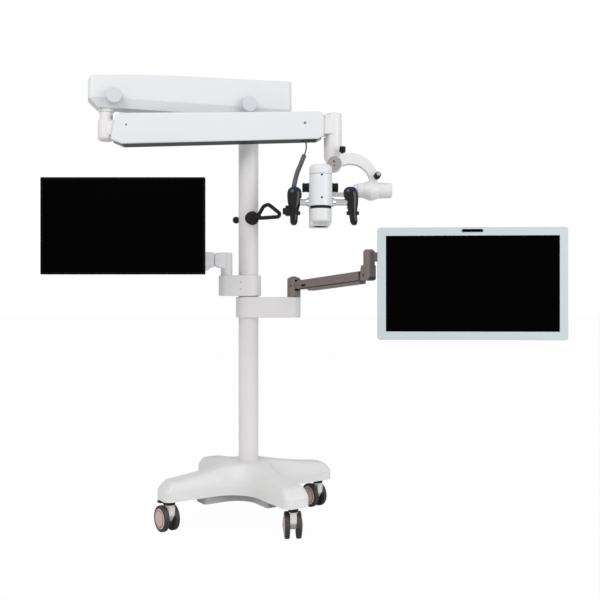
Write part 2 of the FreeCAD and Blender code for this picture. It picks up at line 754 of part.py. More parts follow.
def parallel_link():
    """Lower link of the parallelogram, a flat bar with an eye at each end."""
    z = rear_pivot_high
    far = rear_pivot + link_long
    bar = slab([(rear_pivot - 9, z - 9, 8), (rear_pivot + 30, z - 6, 20), (far - 30, z - 6, 20),
                (far + 9, z - 9, 8), (far + 9, z + 9, 8), (far - 30, z + 6, 20),
                (rear_pivot + 30, z + 6, 20), (rear_pivot - 9, z + 9, 8)], "XZ", -7, 7)
    bar = bar.cut(across(parallel_pin_r + running, rear_pivot, z, 20))
    bar = bar.cut(across(parallel_pin_r + seat_gap, far, z, 20))
    bar = in_link(solid_of(bar))
    bar.translate(V(0, 0, -link_spacing))
    return spring_frame(bar)


def gas_spring():
    """Balance spring in the link's channel: cylinder against the bulkhead, rod and slotted eye."""
    z = rear_pivot_high + anchor_rise
    axis_high = rear_pivot_high + anchor_rise - 7
    barrel = lathe([(0, 0), (10, 0), (11, 2), (11, 236), (9.5, 238), (0, 238)],
                   V(rear_pivot + 106, 0, axis_high), ALONG_X)
    stem = rod(5, V(rear_pivot + 24, 0, axis_high), V(rear_pivot + 110, 0, axis_high))
    eye = slab([(rear_pivot - 14, z - 9, 7), (rear_pivot + 30, z - 9, 0), (rear_pivot + 30, z + 1, 3),
                (rear_pivot + 14, z + 9, 7), (rear_pivot - 14, z + 9, 7)], "XZ", -4, 4)
    slot = slab([(rear_pivot - 9, z - 5, 4.9), (rear_pivot + 9, z - 5, 4.9), (rear_pivot + 9, z + 5, 4.9),
                 (rear_pivot - 9, z + 5, 4.9)], "XZ", -10, 10)
    nose = rod(7, V(rear_pivot + 343, 0, axis_high), V(rear_pivot + 344, 0, axis_high))
    return spring_frame(in_link(solid_of(fused([barrel, stem, eye, nose]).cut(slot))))


def front_knuckle():
    """Front knuckle: two cheeks on the links' front pins and the upright bearing of the drop arm."""
    low_pin = front_pivot_high - link_spacing
    cheek = slab([(front_pivot - 14, low_pin - 11, 11), (front_pivot + 60, low_pin + 2, 20),
                  (spring_long, low_pin + 4, 0), (spring_long, front_pivot_high + 22, 0),
                  (front_pivot + 40, front_pivot_high + 22, 20), (front_pivot - 14, front_pivot_high + 14, 13)],
                 "XZ", -cheek_out, cheek_out)
    gap = block(front_pivot - 30, front_pivot + 40, -cheek_in, cheek_in, low_pin - 20, front_pivot_high + 40)
    tower = lathe([(0, drop_seam), (drop_r, drop_seam), (drop_r, drop_top - 4), (drop_r - 4, drop_top),
                   (0, drop_top)], V(spring_long, 0, 0))
    web = block(spring_long - box_end_back + 2, spring_long, -24, 24, drop_seam + 5, drop_top - 8)
    pin = across(parallel_pin_r, front_pivot, low_pin, cheek_out - 2)
    tab = slab([(front_pivot - 3, cable_tab_high, 2), (front_pivot + 42, cable_tab_high, 4),
                (front_pivot + 42, low_pin + 12, 0), (front_pivot + 36, low_pin + 12, 0),
                (front_pivot + 36, cable_tab_high + 5, 3), (front_pivot - 3, cable_tab_high + 5, 2)],
               "XZ", -6, 6)
    body = fused([cheek.cut(gap), tower, web, pin, tab])
    body = body.cut(across(main_pin_r + running, front_pivot, front_pivot_high, cheek_out + 5))
    body = body.cut(rod(drop_spindle_r + running, V(spring_long, 0, drop_seam - 1),
                        V(spring_long, 0, drop_top - 12)))
    return spring_frame(solid_of(body))


# Drop arm, curved arm and tilt housing. Drawn in place.

curve_back = drop_y - drop_r - seat_gap
curve_front = curve_back - curve_deep
curve_mid = (curve_back + curve_front) / 2


def drop_arm():
    """Upright drop arm that turns under the knuckle: a round post with a cable rib down its back
    and a rounded foot, and the cross barrel of the curved arm's pivot."""
    foot = pivot_high - 10
    post = lathe([(0, foot), (18, foot + 2), (28, foot + 12), (drop_r, foot + 30),
                  (drop_r, drop_seam - seat_gap), (drop_spindle_r, drop_seam - seat_gap),
                  (drop_spindle_r, drop_top - 14), (0, drop_top - 14)], V(drop_x, drop_y, 0))
    rib = lathe([(0, foot + 30), (6, foot + 36), (8.5, foot + 50), (8.5, drop_seam - 3), (0, drop_seam - 3)],
                V(drop_x - drop_r + 2, drop_y + 9, 0))
    barrel = lathe([(0, -drop_r), (drop_r - 3, -drop_r), (drop_r - 3, 12 - drop_r), (17, 18), (0, 18)],
                   V(drop_x, drop_y, pivot_high), ALONG_Y)
    bore = rod(stub_r + running, V(drop_x, drop_y - drop_r - 1, pivot_high),
               V(drop_x, drop_y + 12, pivot_high))
    return solid_of(fused([post, rib, barrel]).cut(bore))


def pivot_cap():
    """Grey disc over the end of the curved arm's pivot, with its two key holes."""
    z = pivot_high
    disc = rod(cap_disc_r, V(drop_x, curve_front - cap_disc_deep, z), V(drop_x, curve_front, z))
    disc = disc.cut(rod(4, V(drop_x, curve_front - 5, z + 3), V(drop_x, curve_front - 1.5, z + 3)))
    return disc.cut(rod(3, V(drop_x, curve_front - 5, z - 9), V(drop_x, curve_front - 1.5, z - 9)))


def tilt_profile():
    """Outer profile of the tilt housing from its head end to its tail end."""
    x0 = tilt_start
    return [(24, x0), (27.5, x0 + 3), (28.5, x0 + 24), (33.5, x0 + 34, "arc"), (tilt_bulge_r, x0 + 52),
            (35.5, x0 + 70, "arc"), (tilt_tube_r + 1, x0 + 82), (tilt_tube_r, tilt_end - 4),
            (tilt_tube_r - 4, tilt_end)]


def tilt_housing():
    """Round housing that the head's shaft turns in, swollen where the curved arm meets it."""
    bore = tilt_shaft_r + running
    depth = tilt_start + 92
    profile = tilt_profile() + [(0, tilt_end), (0, depth), (bore, depth), (bore, tilt_start)]
    return lathe(profile, V(0, curve_mid, tilt_high), ALONG_X)


def c_arm():
    """Curved arm: hub and stub shaft at the pivot, a quarter turn, and a saddle on the housing."""
    hub = rod(hub_r, V(drop_x, curve_front, pivot_high), V(drop_x, curve_back, pivot_high))
    stub = rod(stub_r, V(drop_x, curve_back, pivot_high), V(drop_x, drop_y + 10, pivot_high))
    top_start = V(drop_x + 26, curve_front, pivot_high + 38)
    top_bend = V(drop_x + 55, curve_front, pivot_high + 41)
    outer_mid = V(drop_x + 121, curve_front, pivot_high + 23)
    outer_end = V(drop_x + 166, curve_front, pivot_high - 40)
    outer_foot = V(drop_x + 167, curve_front, tilt_high + 20)
    inner_foot = V(drop_x + 137, curve_front, tilt_high + 20)
    inner_end = V(drop_x + 136, curve_front, pivot_high - 58)
    inner_mid = V(drop_x + 110, curve_front, pivot_high - 18)
    low_bend = V(drop_x + 52, curve_front, pivot_high - 2)
    low_start = V(drop_x + 24, curve_front, pivot_high - 8)
    edges = [Part.makeLine(top_start, top_bend), Part.Arc(top_bend, outer_mid, outer_end).toShape(),
             Part.makeLine(outer_end, outer_foot), Part.makeLine(outer_foot, inner_foot),
             Part.makeLine(inner_foot, inner_end), Part.Arc(inner_end, inner_mid, low_bend).toShape(),
             Part.makeLine(low_bend, low_start), Part.makeLine(low_start, V(drop_x, curve_front, pivot_high)),
             Part.makeLine(V(drop_x, curve_front, pivot_high), top_start)]
    sweep = Part.Face(Part.Wire(edges)).extrude(ALONG_Y * curve_deep)
    sweep = rounded_edges(sweep, 7, lambda e: e.Length > 60 and e.CenterOfMass.z > pivot_high - 10
                          and abs(e.CenterOfMass.y - curve_mid) > 15 and e.CenterOfMass.x > drop_x + 60
                          and e.CenterOfMass.x + e.CenterOfMass.z > drop_x + pivot_high + 120)
    body = fused([hub, stub, sweep])
    solid_housing = lathe([(0, tilt_start)] + tilt_profile() + [(0, tilt_end)],
                          V(0, curve_mid, tilt_high), ALONG_X)
    body = body.cut(solid_housing)
    for foot, axis in knob_places().values():
        body = body.cut(rod(knob_stud_r + running, foot - axis * (knob_stud_deep + 1), foot + axis * 12))
    return solid_of(body)


def knob_places():
    """Foot and direction of the two lock knobs."""
    return {"upper": (V(drop_x + 31, curve_mid + 1, pivot_high + 39), V(0.05, -0.3, 0.95).normalize()),
            "lower": (V(drop_x + 160, curve_front, tilt_high + 46), V(0.25, -0.88, 0.4).normalize())}


def lock_knob(which):
    """Lock knob: a ribbed grip with a bright cap on a threaded stud."""
    foot, axis = knob_places()[which]
    base = foot + axis * knob_stand
    grip = lathe([(0, 0), (knob_r - 2, 0), (knob_r, 3), (knob_r, knob_long - 7), (knob_r - 0.8, knob_long - 7),
                  (knob_r - 0.8, knob_long - 2), (knob_r - 4, knob_long), (0, knob_long)], base, axis)
    grooves = []
    for i in range(12):
        angle = math.radians(30 * i)
        x = (knob_r + 0.6) * math.cos(angle)
        y = (knob_r + 0.6) * math.sin(angle)
        groove = rod(1.5, V(x, y, -1), V(x, y, knob_long - 8))
        groove.Placement = FreeCAD.Placement(base, FreeCAD.Rotation(UP, axis))
        grooves.append(groove)
    stud = rod(knob_stud_r, foot - axis * knob_stud_deep, base + axis)
    return solid_of(fused([grip.cut(Part.makeCompound(grooves)), stud]))


# Microscope head. Drawn in place.

def head_body():
    """Optical body: rounded casting with the bracket and shaft of the tilt joint, the ears of the
    binocular hinge and the pocket of the objective."""
    x0 = head_x - head_half
    x1 = head_x + head_half
    body = slab([(x0, head_front, 12), (x1, head_front, 12), (x1, head_rear, 20), (x0, head_rear, 20)],
                "XY", head_low, head_high)
    body = rounded_edges(body, 8, lambda e: e.BoundBox.ZMin > head_high - 1)
    wedge = slab([(x1 + 1, head_low - 1, 0), (x1 + 1, head_low + 12, 0), (x1 - 12, head_low - 1, 0)],
                 "XZ", head_front - 5, head_rear + 5)
    body = body.cut(wedge)
    strap = slab([(x1 - 6, tilt_high - 22, 0), (tilt_start - 4, tilt_high - 22, 3),
                  (tilt_start - 4, tilt_high - 9, 3), (x1 - 6, tilt_high - 9, 0)],
                 "XZ", curve_mid - 20, curve_mid + 20)
    flange = lathe([(0, 0), (22, 0), (25, 3), (25, 12.7), (0, 12.7)],
                   V(tilt_start - 13, curve_mid, tilt_high), ALONG_X)
    shaft = rod(tilt_shaft_r, V(tilt_start - 2, curve_mid, tilt_high), V(tilt_start + 90, curve_mid, tilt_high))
    parts = [body, strap, flange, shaft]
    for x in (x0, x1 - ear_deep):
        parts.append(slab([(head_rear - 12, hinge_high - 18, 0), (hinge_y + 14, hinge_high - 16, 13),
                           (hinge_y + 14, hinge_high + 16, 13), (head_rear - 12, hinge_high + 18, 0)],
                          "YZ", x, x + ear_deep))
    body = fused(parts)
    body = body.cut(block(x0 + ear_deep, x1 - ear_deep, head_rear, hinge_y + 40, head_low, head_high))
    pocket = rod(objective_r, V(head_x, lens_y, head_low - 1), V(head_x, lens_y, head_low + 34))
    front = rod(tube_r, V(head_x, tube_y, ring_high), V(head_x, tube_y, head_high + 5))
    lower = rod(lower_tube_r, V(head_x, tube_y, head_low - 5), V(head_x, tube_y, ring_high))
    spindle = rod(magnifier_shaft_r + running, V(x0 - 1, magnifier_y, magnifier_high),
                  V(x1 + 1, magnifier_y, magnifier_high))
    hinge = rod(magnifier_shaft_r + running, V(x0 - 1, hinge_y, hinge_high), V(x1 + 1, hinge_y, hinge_high))
    return solid_of(body.cut(pocket).cut(front).cut(lower).cut(spindle).cut(hinge))


def front_tube():
    """Upright front tube: capped top with its seam, a dark ring groove and a stepped lower part."""
    seam = tube_high - 37
    body = lathe([(0, tube_low), (lower_tube_r - 3, tube_low), (lower_tube_r, tube_low + 3),
                  (lower_tube_r, ring_low), (lower_tube_r - 1.5, ring_low), (lower_tube_r - 1.5, ring_high),
                  (tube_r, ring_high), (tube_r, seam), (tube_r - 0.8, seam), (tube_r - 0.8, seam + 1.2),
                  (tube_r, seam + 1.2), (tube_r, tube_high - 13), (tube_r - 4, tube_high - 4, "arc"),
                  (tube_r - 13, tube_high), (0, tube_high)], V(head_x, tube_y, 0))
    for z in (seam - 5, bar_high + 13):
        body = body.cut(rod(3, V(head_x + 3, tube_y - tube_r + 2, z), V(head_x + 3, tube_y - tube_r - 2, z)))
    bar = rod(bar_spigot_r, V(head_x - 60, bar_y, bar_high), V(head_x + 60, bar_y, bar_high))
    return solid_of(body.cut(bar))


def objective_ring():
    """Objective mount, flush in the body's floor, with the mouth that accessories screw into."""
    return lathe([(lens_mouth_r, head_low), (objective_r, head_low), (objective_r, head_low + 34),
                  (lens_mouth_r - 4, head_low + 34), (lens_mouth_r - 4, head_low + lens_mouth_deep + 12),
                  (lens_mouth_r, head_low + lens_mouth_deep + 12)], V(head_x, lens_y, 0))


def objective_lens():
    """Front lens of the objective."""
    low = head_low + lens_mouth_deep
    return lathe([(0, low), (lens_mouth_r * 0.6, low + 0.7, "arc"), (lens_mouth_r, low + 2.5),
                  (lens_mouth_r, low + 12), (0, low + 12)], V(head_x, lens_y, 0))


def magnification_knobs():
    """Magnification shaft with a ribbed knob at each side of the head."""
    left = head_x - head_half
    right = head_x + head_half
    shaft = rod(magnifier_shaft_r, V(left - 6, magnifier_y, magnifier_high),
                V(right + 6, magnifier_y, magnifier_high))
    parts = [shaft]
    long = magnifier_long
    profile = [(0, 0), (magnifier_r, 0), (magnifier_r, long * 0.42), (magnifier_r - 1.5, long * 0.45),
               (magnifier_r - 1.5, long * 0.55), (magnifier_r, long * 0.58), (magnifier_r, long - 2),
               (magnifier_r - 2, long), (0, long)]
    for base, axis in ((left - seat_gap, -ALONG_X), (right + seat_gap, ALONG_X)):
        parts.append(lathe(profile, V(base, magnifier_y, magnifier_high), axis))
    return solid_of(fused(parts))


left_bar_end = head_x - 78
right_bar_end = head_x + 100
left_grip_top = 186.6
left_grip_tip = 184.0
right_grip_top = 399.0
right_grip_tip = 413.0


def handle_bars():
    """The two bright bars that carry the handles, flared where they leave the front tube."""
    bars = []
    tube = rod(tube_r, V(head_x, tube_y, tube_low), V(head_x, tube_y, tube_high))
    for end, sign in ((left_bar_end, -1), (right_bar_end, 1)):
        axis = V(sign, 0, 0)
        long = abs(end - head_x)
        bar = lathe([(0, 0), (bar_spigot_r, 0), (bar_spigot_r, tube_r - 12), (17, tube_r - 12), (17, tube_r + 4),
                     (bar_r, tube_r + 14), (bar_r, long), (bar_spigot_r, long), (bar_spigot_r, long + 26),
                     (0, long + 26)], V(head_x, bar_y, bar_high), axis)
        keep = rod(bar_spigot_r, V(head_x + sign * 0.5, bar_y, bar_high), V(head_x + sign * 60, bar_y, bar_high))
        bars.append(solid_of(bar.cut(tube.cut(keep)).cut(block(head_x - 0.25, head_x + 0.25, -300, 0, 1200, 1300))))
    return Part.makeCompound(bars)


def ellipse_wire(x, y, z, half_wide, half_deep):
    """A level ellipse, wider along X when half_wide is the larger."""
    if half_wide >= half_deep:
        curve = Part.Ellipse(V(x + half_wide, y, z), V(x, y + half_deep, z), V(x, y, z))
    else:
        curve = Part.Ellipse(V(x, y + half_deep, z), V(x - half_wide, y, z), V(x, y, z))
    return Part.Wire(curve.toShape())


def handle(top_x, tip_x, bore_from, sign):
    """Drop-shaped grip: broad rounded head, slim foot, a bore for the bar and two side buttons."""
    top = bar_high + 59
    tip = bar_high - 87
    rings = [(0.0, 8, 6), (0.04, 20, 15), (0.12, 26.5, 20), (0.24, 27.5, 21), (0.42, 24.5, 20),
             (0.60, 18.5, 18), (0.80, 14.8, 15), (0.93, 13.2, 13), (0.985, 8.5, 8.5), (1.0, 3, 3)]
    wires = []
    for share, wide, deep in rings:
        lean = top_x + (tip_x - top_x) * max(0.0, share - 0.12) / 0.88
        wires.append(ellipse_wire(lean, bar_y, top + (tip - top) * share, wide, deep))
    body = Part.makeLoft(wires, True, False)
    z = bar_high - 41
    x = top_x + (tip_x - top_x) * 0.6
    buttons = lathe([(0, -24), (5, -24), (7.5, -22), (7.5, 22), (5, 24), (0, 24)], V(x, bar_y, z), ALONG_X)
    body = fused([body, buttons])
    bore = rod(bar_spigot_r + running, V(bore_from - sign * 40, bar_y, bar_high),
               V(bore_from + sign * 27, bar_y, bar_high))
    face = rod(bar_r + 6, V(bore_from - sign * 40, bar_y, bar_high), V(bore_from + sign * seat_gap, bar_y, bar_high))
    return solid_of(body.cut(bore).cut(face))


def left_handle():
    """Handle at the left of the head, with the stepped socket block of its keys on the outer side."""
    grip = handle(left_grip_top, left_grip_tip, left_bar_end, -1)
    stack = [grip]
    for wide, deep, low, high in ((42, 9, 46, 22), (32, 11, 52, 13)):
        step = block(left_grip_tip - wide, left_grip_tip - 8, bar_y - deep, bar_y + deep,
                     bar_high - low, bar_high - high)
        stack.append(rounded_edges(step, 2, lambda e: e.CenterOfMass.x < left_grip_tip - wide + 1))
    return solid_of(fused(stack))


def right_handle():
    """Handle at the right of the head."""
    return handle(right_grip_top, right_grip_tip, right_bar_end, 1)


def binocular_tube():
    """Inclinable binocular body: a hinge hub between the ears and the prism block behind it."""
    half = head_half - ear_deep - seat_gap
    hub = rod(hinge_hub_r, V(head_x - half, hinge_y, hinge_high), V(head_x + half, hinge_y, hinge_high))
    pin = rod(magnifier_shaft_r, V(head_x - head_half, hinge_y, hinge_high),
              V(head_x + head_half, hinge_y, hinge_high))
    neck = slab([(head_x - 24, hinge_y, 0), (head_x + 24, hinge_y, 0), (head_x + 44, hinge_y + 42, 6),
                 (head_x + 44, eyepiece_start - seat_gap, 3), (head_x - 44, eyepiece_start - seat_gap, 3),
                 (head_x - 44, hinge_y + 42, 6)], "XY", hinge_high - 19, hinge_high + 19)
    neck = rounded_edges(neck, 4, lambda e: abs(abs(e.CenterOfMass.z - hinge_high) - 19) < 0.1
                         and e.CenterOfMass.y > hinge_y + 40)
    return solid_of(fused([hub, pin, neck]))


def eyepiece(sign):
    """One eyepiece: sliding foot, tube, dioptre ring and a soft cup around the eye lens."""
    y0 = eyepiece_start
    y1 = eyepiece_end
    return lathe([(0, y0), (18, y0), (18, y0 + 4), (15.5, y0 + 6), (15.5, y0 + 20), (eyepiece_r, y0 + 22),
                  (eyepiece_r, y0 + 36), (17, y0 + 38), (17, y0 + 42), (19, y0 + 50), (18.4, y1), (15.5, y1),
                  (14, y1 - 3.5), (0, y1 - 3.5)], V(head_x + sign * pupil_half, 0, hinge_high), ALONG_Y)


# Cable from the spring arm to the left handle

cord_r = 3.0
sleeve_r = 9.2
sleeve_gap = 0.4
cord_route = [V(231.5, -79.8, cable_tab_high), V(231.5, -79.8, 1496), V(233, -88, 1473), V(225, -100, 1450)]
sleeve_route = [V(225, -100, 1450), V(210, -121, 1408), V(192, -150, 1362), V(184, -187, 1311)]


def hose(route, radius, name):
    """A tube of straight runs and tangent arcs through a route's points."""
    runs = [(b - a).Length for a, b in zip(route, route[1:])]
    edges = []
    start = route[0]
    for i in range(1, len(route) - 1):
        back = (route[i - 1] - route[i]).normalize()
        ahead = (route[i + 1] - route[i]).normalize()
        turn = math.pi - back.getAngle(ahead)
        cut = 0.45 * min(runs[i - 1], runs[i])
        bend = cut / math.tan(turn / 2)
        print(name, "bend radius", round(bend, 1))
        middle = (back + ahead).normalize()
        centre = route[i] + middle * math.hypot(bend, cut)
        first = route[i] + back * cut
        last = route[i] + ahead * cut
        edges.append(Part.makeLine(start, first))
        edges.append(Part.Arc(first, centre - middle * bend, last).toShape())
        start = last
    edges.append(Part.makeLine(start, route[-1]))
    path = Part.Wire(edges)
    section = Part.Wire(Part.makeCircle(radius, route[0], route[1] - route[0]))
    tube = path.makePipeShell([section], True, False)
    ideal = math.pi * radius ** 2 * path.Length
    print(name, "length", round(path.Length, 1), "volume share", round(tube.Volume / ideal, 4))
    return tube.Solids[0] if tube.Solids else tube


def head_cable():
    """Thin lead from the arm's front knuckle and the corrugated sleeve that takes it to the handle."""
    lead = hose(cord_route, cord_r, "lead")
    sleeve = hose(sleeve_route, sleeve_r, "sleeve")
    for lift in (0, sleeve_gap):
        grip = left_handle()
        grip.translate(V(0, 0, lift))
        sleeve = sleeve.cut(grip)
    return Part.makeCompound([lead, max(sleeve.Solids, key=lambda piece: piece.Volume)])


# Monitor brackets and arms

def clamp(x, y, r, low, high):
    """Bracket clamped round the column, with a round outer end."""
    body = tangent_plate(0, 0, column_r + 11, x, y, r, low, high)
    body = rounded_edges(body, 4, lambda e: abs(e.BoundBox.ZMax - e.BoundBox.ZMin) < 0.1)
    body = body.cut(rod(column_r + running, V(0, 0, low - 1), V(0, 0, high + 1)))
    for rise in (14, -14):
        hole = V(-0.32 * abs(x), 0, (low + high) / 2 + rise)
        body = body.cut(rod(4, hole + V(0, -70, 0), hole + V(0, -column_r - 6, 0)))
    return body


def left_bracket():
    """Upper bracket with the upright post of the left monitor's arm."""
    body = clamp(left_post_x, left_post_y, left_post_r + 8, left_bracket_low, left_bracket_high)
    post = rod(left_post_r, V(left_post_x, left_post_y, left_bracket_high), V(left_post_x, left_post_y, left_seam))
    pin = rod(post_pin_r, V(left_post_x, left_post_y, left_seam), V(left_post_x, left_post_y, left_seam + 50))
    return solid_of(fused([body, post, pin]))


def right_bracket():
    """Lower bracket with the pin of the right monitor's arm."""
    body = clamp(right_post_x, right_post_y, right_post_r, right_bracket_low, right_bracket_high)
    pin = rod(post_pin_r, V(right_post_x, right_post_y, right_bracket_high - 2),
              V(right_post_x, right_post_y, right_bracket_high + right_pin_rise))
    return solid_of(fused([body, pin]))


left_reach = math.hypot(left_screen_x - left_post_x, -165 - left_post_y)
left_heading = math.degrees(math.atan2(-165 - left_post_y, left_screen_x - left_post_x))
left_near = 42.0
left_far = left_reach - 34.0


def left_frame(shape):
    """Places a piece of the left monitor's arm on its post."""
    return placed(shape, left_post_x, left_post_y, left_heading)


def left_swivel():
    """Knuckle that turns on the left post and holds the arm's rear pin."""
    low = left_seam + seat_gap
    body = rod(left_post_r, V(0, 0, low), V(0, 0, low + 68))
    ear = slab([(0, low + 6, 0), (left_near - 12, low + 8, 8), (left_near + 12, low + 18, 10),
                (left_near + 12, low + 56, 14), (left_near - 4, low + 67, 6), (0, low + 67, 0)],
               "XZ", -left_post_r + 2, left_post_r - 2)
    gap = block(left_near - 14, left_near + 30, -9, 9, low - 1, low + 80)
    body = fused([body, ear.cut(gap)])
    body = body.cut(rod(post_pin_r + running, V(0, 0, low - 1), V(0, 0, low + 52)))
    return left_frame(solid_of(body.cut(across(5 + running, left_near, left_lift_high, 40))))


def left_lift_slope():
    """Upward slope of the left arm, in degrees."""
    return math.degrees(math.atan2(left_arm_rise, left_far - left_near))


def left_arm():
    """Balanced arm of the left monitor: two white halves with a dark cable channel below."""
    z = left_lift_high
    far = left_near + math.hypot(left_far - left_near, left_arm_rise)
    tongue = slab([(left_near - 9, z - 10, 9), (left_near + 30, z - 10, 0), (left_near + 30, z + 10, 0),
                   (left_near - 9, z + 10, 9)], "XZ", -8.7, 8.7)
    upper = slab([(left_near + 15, z + 0.5, 0), (far - 16, z + 0.5, 0), (far - 16, z + 28, 6),
                  (left_near + 15, z + 31, 6)], "XZ", -22, 22)
    lower = slab([(left_near + 15, z - 28, 0), (far - 16, z - 24, 0), (far - 16, z - 0.5, 0),
                  (left_near + 15, z - 0.5, 0)], "XZ", -22, 22)
    core = block(left_near + 18, far - 19, -20, 20, z - 3, z + 3)
    trunk = slab([(left_near + 22, z - 27, 0), (far - 20, z - 23, 0), (far - 30, z - 38, 8),
                  (left_near + 40, z - 44, 8)], "XZ", -15, 15)
    nose = slab([(far - 30, z - 10, 0), (far + 9, z - 10, 9), (far + 9, z + 10, 9), (far - 30, z + 10, 0)],
                "XZ", -8.7, 8.7)
    pins = [across(5, left_near, z, left_post_r - 3), across(5, far, z, 19)]
    body = fused([tongue, upper, lower, core, trunk, nose] + pins)
    body.rotate(V(left_near, 0, z), ALONG_Y, -left_lift_slope())
    return left_frame(solid_of(body))


def left_knuckle():
    """Level knuckle at the arm's far end, with the upright pin of the tilt head."""
    z = left_lift_high + left_arm_rise
    post = rod(19, V(left_reach, 0, z - 24), V(left_reach, 0, z + 22))
    ear = slab([(left_far - 11, z - 14, 10), (left_reach, z - 20, 0), (left_reach, z + 20, 0),
                (left_far - 11, z + 14, 10)], "XZ", -19, 19)
    gap = block(left_far - 40, left_far + 13, -9, 9, z - 40, z + 40)
    pin = rod(10, V(left_reach, 0, z + 20), V(left_reach, 0, z + 50))
    body = fused([post, ear.cut(gap), pin]).cut(across(5 + running, left_far, z, 40))
    return left_frame(solid_of(body))


left_yoke_y = -165.0
left_tilt_y = -196.0


def tilt_yoke(x, y, low, high, tilt_y, ear_half):
    """Head that turns on an upright pin and holds a cross pin in two ears."""
    body = rod(17, V(x, y, low), V(x, y, high + 16))
    ears = slab([(y, high - 14, 0), (tilt_y - 10, high - 12, 11), (tilt_y - 10, high + 12, 11), (y, high + 14, 0)],
                "YZ", x - ear_half, x + ear_half)
    gap = block(x - ear_half + 6, x + ear_half - 6, tilt_y - 20, tilt_y + 13, high - 30, high + 30)
    body = fused([body, ears.cut(gap)])
    cross_bore = rod(4 + running, V(x - 60, tilt_y, high), V(x + 60, tilt_y, high))
    return body.cut(cross_bore)


def left_tilt_head():
    """Tilt head of the left monitor."""
    low = left_lift_high + left_arm_rise + 22 + seat_gap
    body = tilt_yoke(left_screen_x, left_yoke_y, low, left_screen_high, left_tilt_y, 21)
    return solid_of(body.cut(rod(10 + running, V(left_screen_x, left_yoke_y, low - 1),
                                 V(left_screen_x, left_yoke_y, low + 30))))


vent_slots = 5
vent_pitch = 60.0


def panel(wide, tall, deep, bezel, x, y, z, rim):
    """Monitor casing: a rounded front frame, a stepped back and a square of mounting bosses."""
    w = wide / 2
    h = tall / 2
    front = slab([(x - w, z - h, rim), (x + w, z - h, rim), (x + w, z + h, rim), (x - w, z + h, rim)],
                 "XZ", y, y + deep * 0.36)
    front = rounded_edges(front, 2, lambda e: e.BoundBox.YMax < y + 0.1)
    pocket = block(x - w + bezel, x + w - bezel, y - 1, y + 3, z - h + bezel, z + h - bezel)
    back = slab([(x - w + 24, z - h + 22, 20), (x + w - 24, z - h + 22, 20), (x + w - 24, z + h - 22, 20),
                 (x - w + 24, z + h - 22, 20)], "XZ", y + deep * 0.36, y + deep)
    back = rounded_edges(back, 8, lambda e: e.BoundBox.YMin > y + deep - 0.1)
    plate = slab([(x - 58, z - 58, 6), (x + 58, z - 58, 6), (x + 58, z + 58, 6), (x - 58, z + 58, 6)],
                 "XZ", y + deep, y + deep + 4)
    body = fused([front.cut(pocket), back, plate])
    for i in range(vent_slots):
        at = x + vent_pitch * (i - (vent_slots - 1) / 2)
        body = body.cut(block(at, at + 18, y + deep - 2, y + deep + 1, z + h - 54, z + h - 50))
    return body


def left_monitor():
    """Casing of the left monitor with its mounting plate and pivot lug."""
    deep = 44.0
    body = panel(left_wide, left_tall, deep, 8.0, left_screen_x, left_screen_y, left_screen_high, 4)
    lug = slab([(left_screen_y + deep + 2, left_screen_high - 14, 0), (left_tilt_y + 9, left_screen_high - 9, 9),
                (left_tilt_y + 9, left_screen_high + 9, 9), (left_screen_y + deep + 2, left_screen_high + 14, 0)],
               "YZ", left_screen_x - 14.7, left_screen_x + 14.7)
    pin = rod(4, V(left_screen_x - 20, left_tilt_y, left_screen_high),
              V(left_screen_x + 20, left_tilt_y, left_screen_high))
    return solid_of(fused([body, lug, pin]))


def screen(wide, tall, bezel, x, y, z):
    """Glass of a monitor, in the pocket of its front frame."""
    w = wide / 2 - bezel - 0.2
    h = tall / 2 - bezel - 0.2
    return block(x - w, x + w, y + 0.6, y + 3, z - h, z + h)


def left_screen():
    """Glass of the left monitor."""
    return screen(left_wide, left_tall, 8.0, left_screen_x, left_screen_y, left_screen_high)


right_reach = math.hypot(right_elbow_x - right_post_x, right_elbow_y - right_post_y)
right_heading = math.degrees(math.atan2(right_elbow_y - right_post_y, right_elbow_x - right_post_x))
right_near = 10.0
right_far = right_reach - 8.0


def right_frame(shape):
    """Places a piece of the right monitor's arm on its post."""
    return placed(shape, right_post_x, right_post_y, right_heading)


def right_swivel():
    """Round knuckle of the right arm with a slot for the beam's root and a cap on top."""
    low = right_bracket_high + seat_gap
    high = low + 78
    body = lathe([(0, low), (right_post_r - 1, low), (right_post_r, low + 1), (right_post_r, high - 6),
                  (right_post_r - 6, high), (12, high), (12, high + 4), (0, high + 4)])
    slot = block(-14, 60, -14.3, 14.3, right_lift_high - 20, right_lift_high + 24)
    body = body.cut(slot)
    body = body.cut(rod(post_pin_r + running, V(0, 0, low - 1),
                        V(0, 0, right_bracket_high + right_pin_rise + 2)))
    return right_frame(solid_of(body.cut(across(5 + running, right_near, right_lift_high, 40))))


def right_lift_slope():
    """Upward slope of the right arm, in degrees."""
    return math.degrees(math.atan2(right_arm_rise, right_far - right_near))


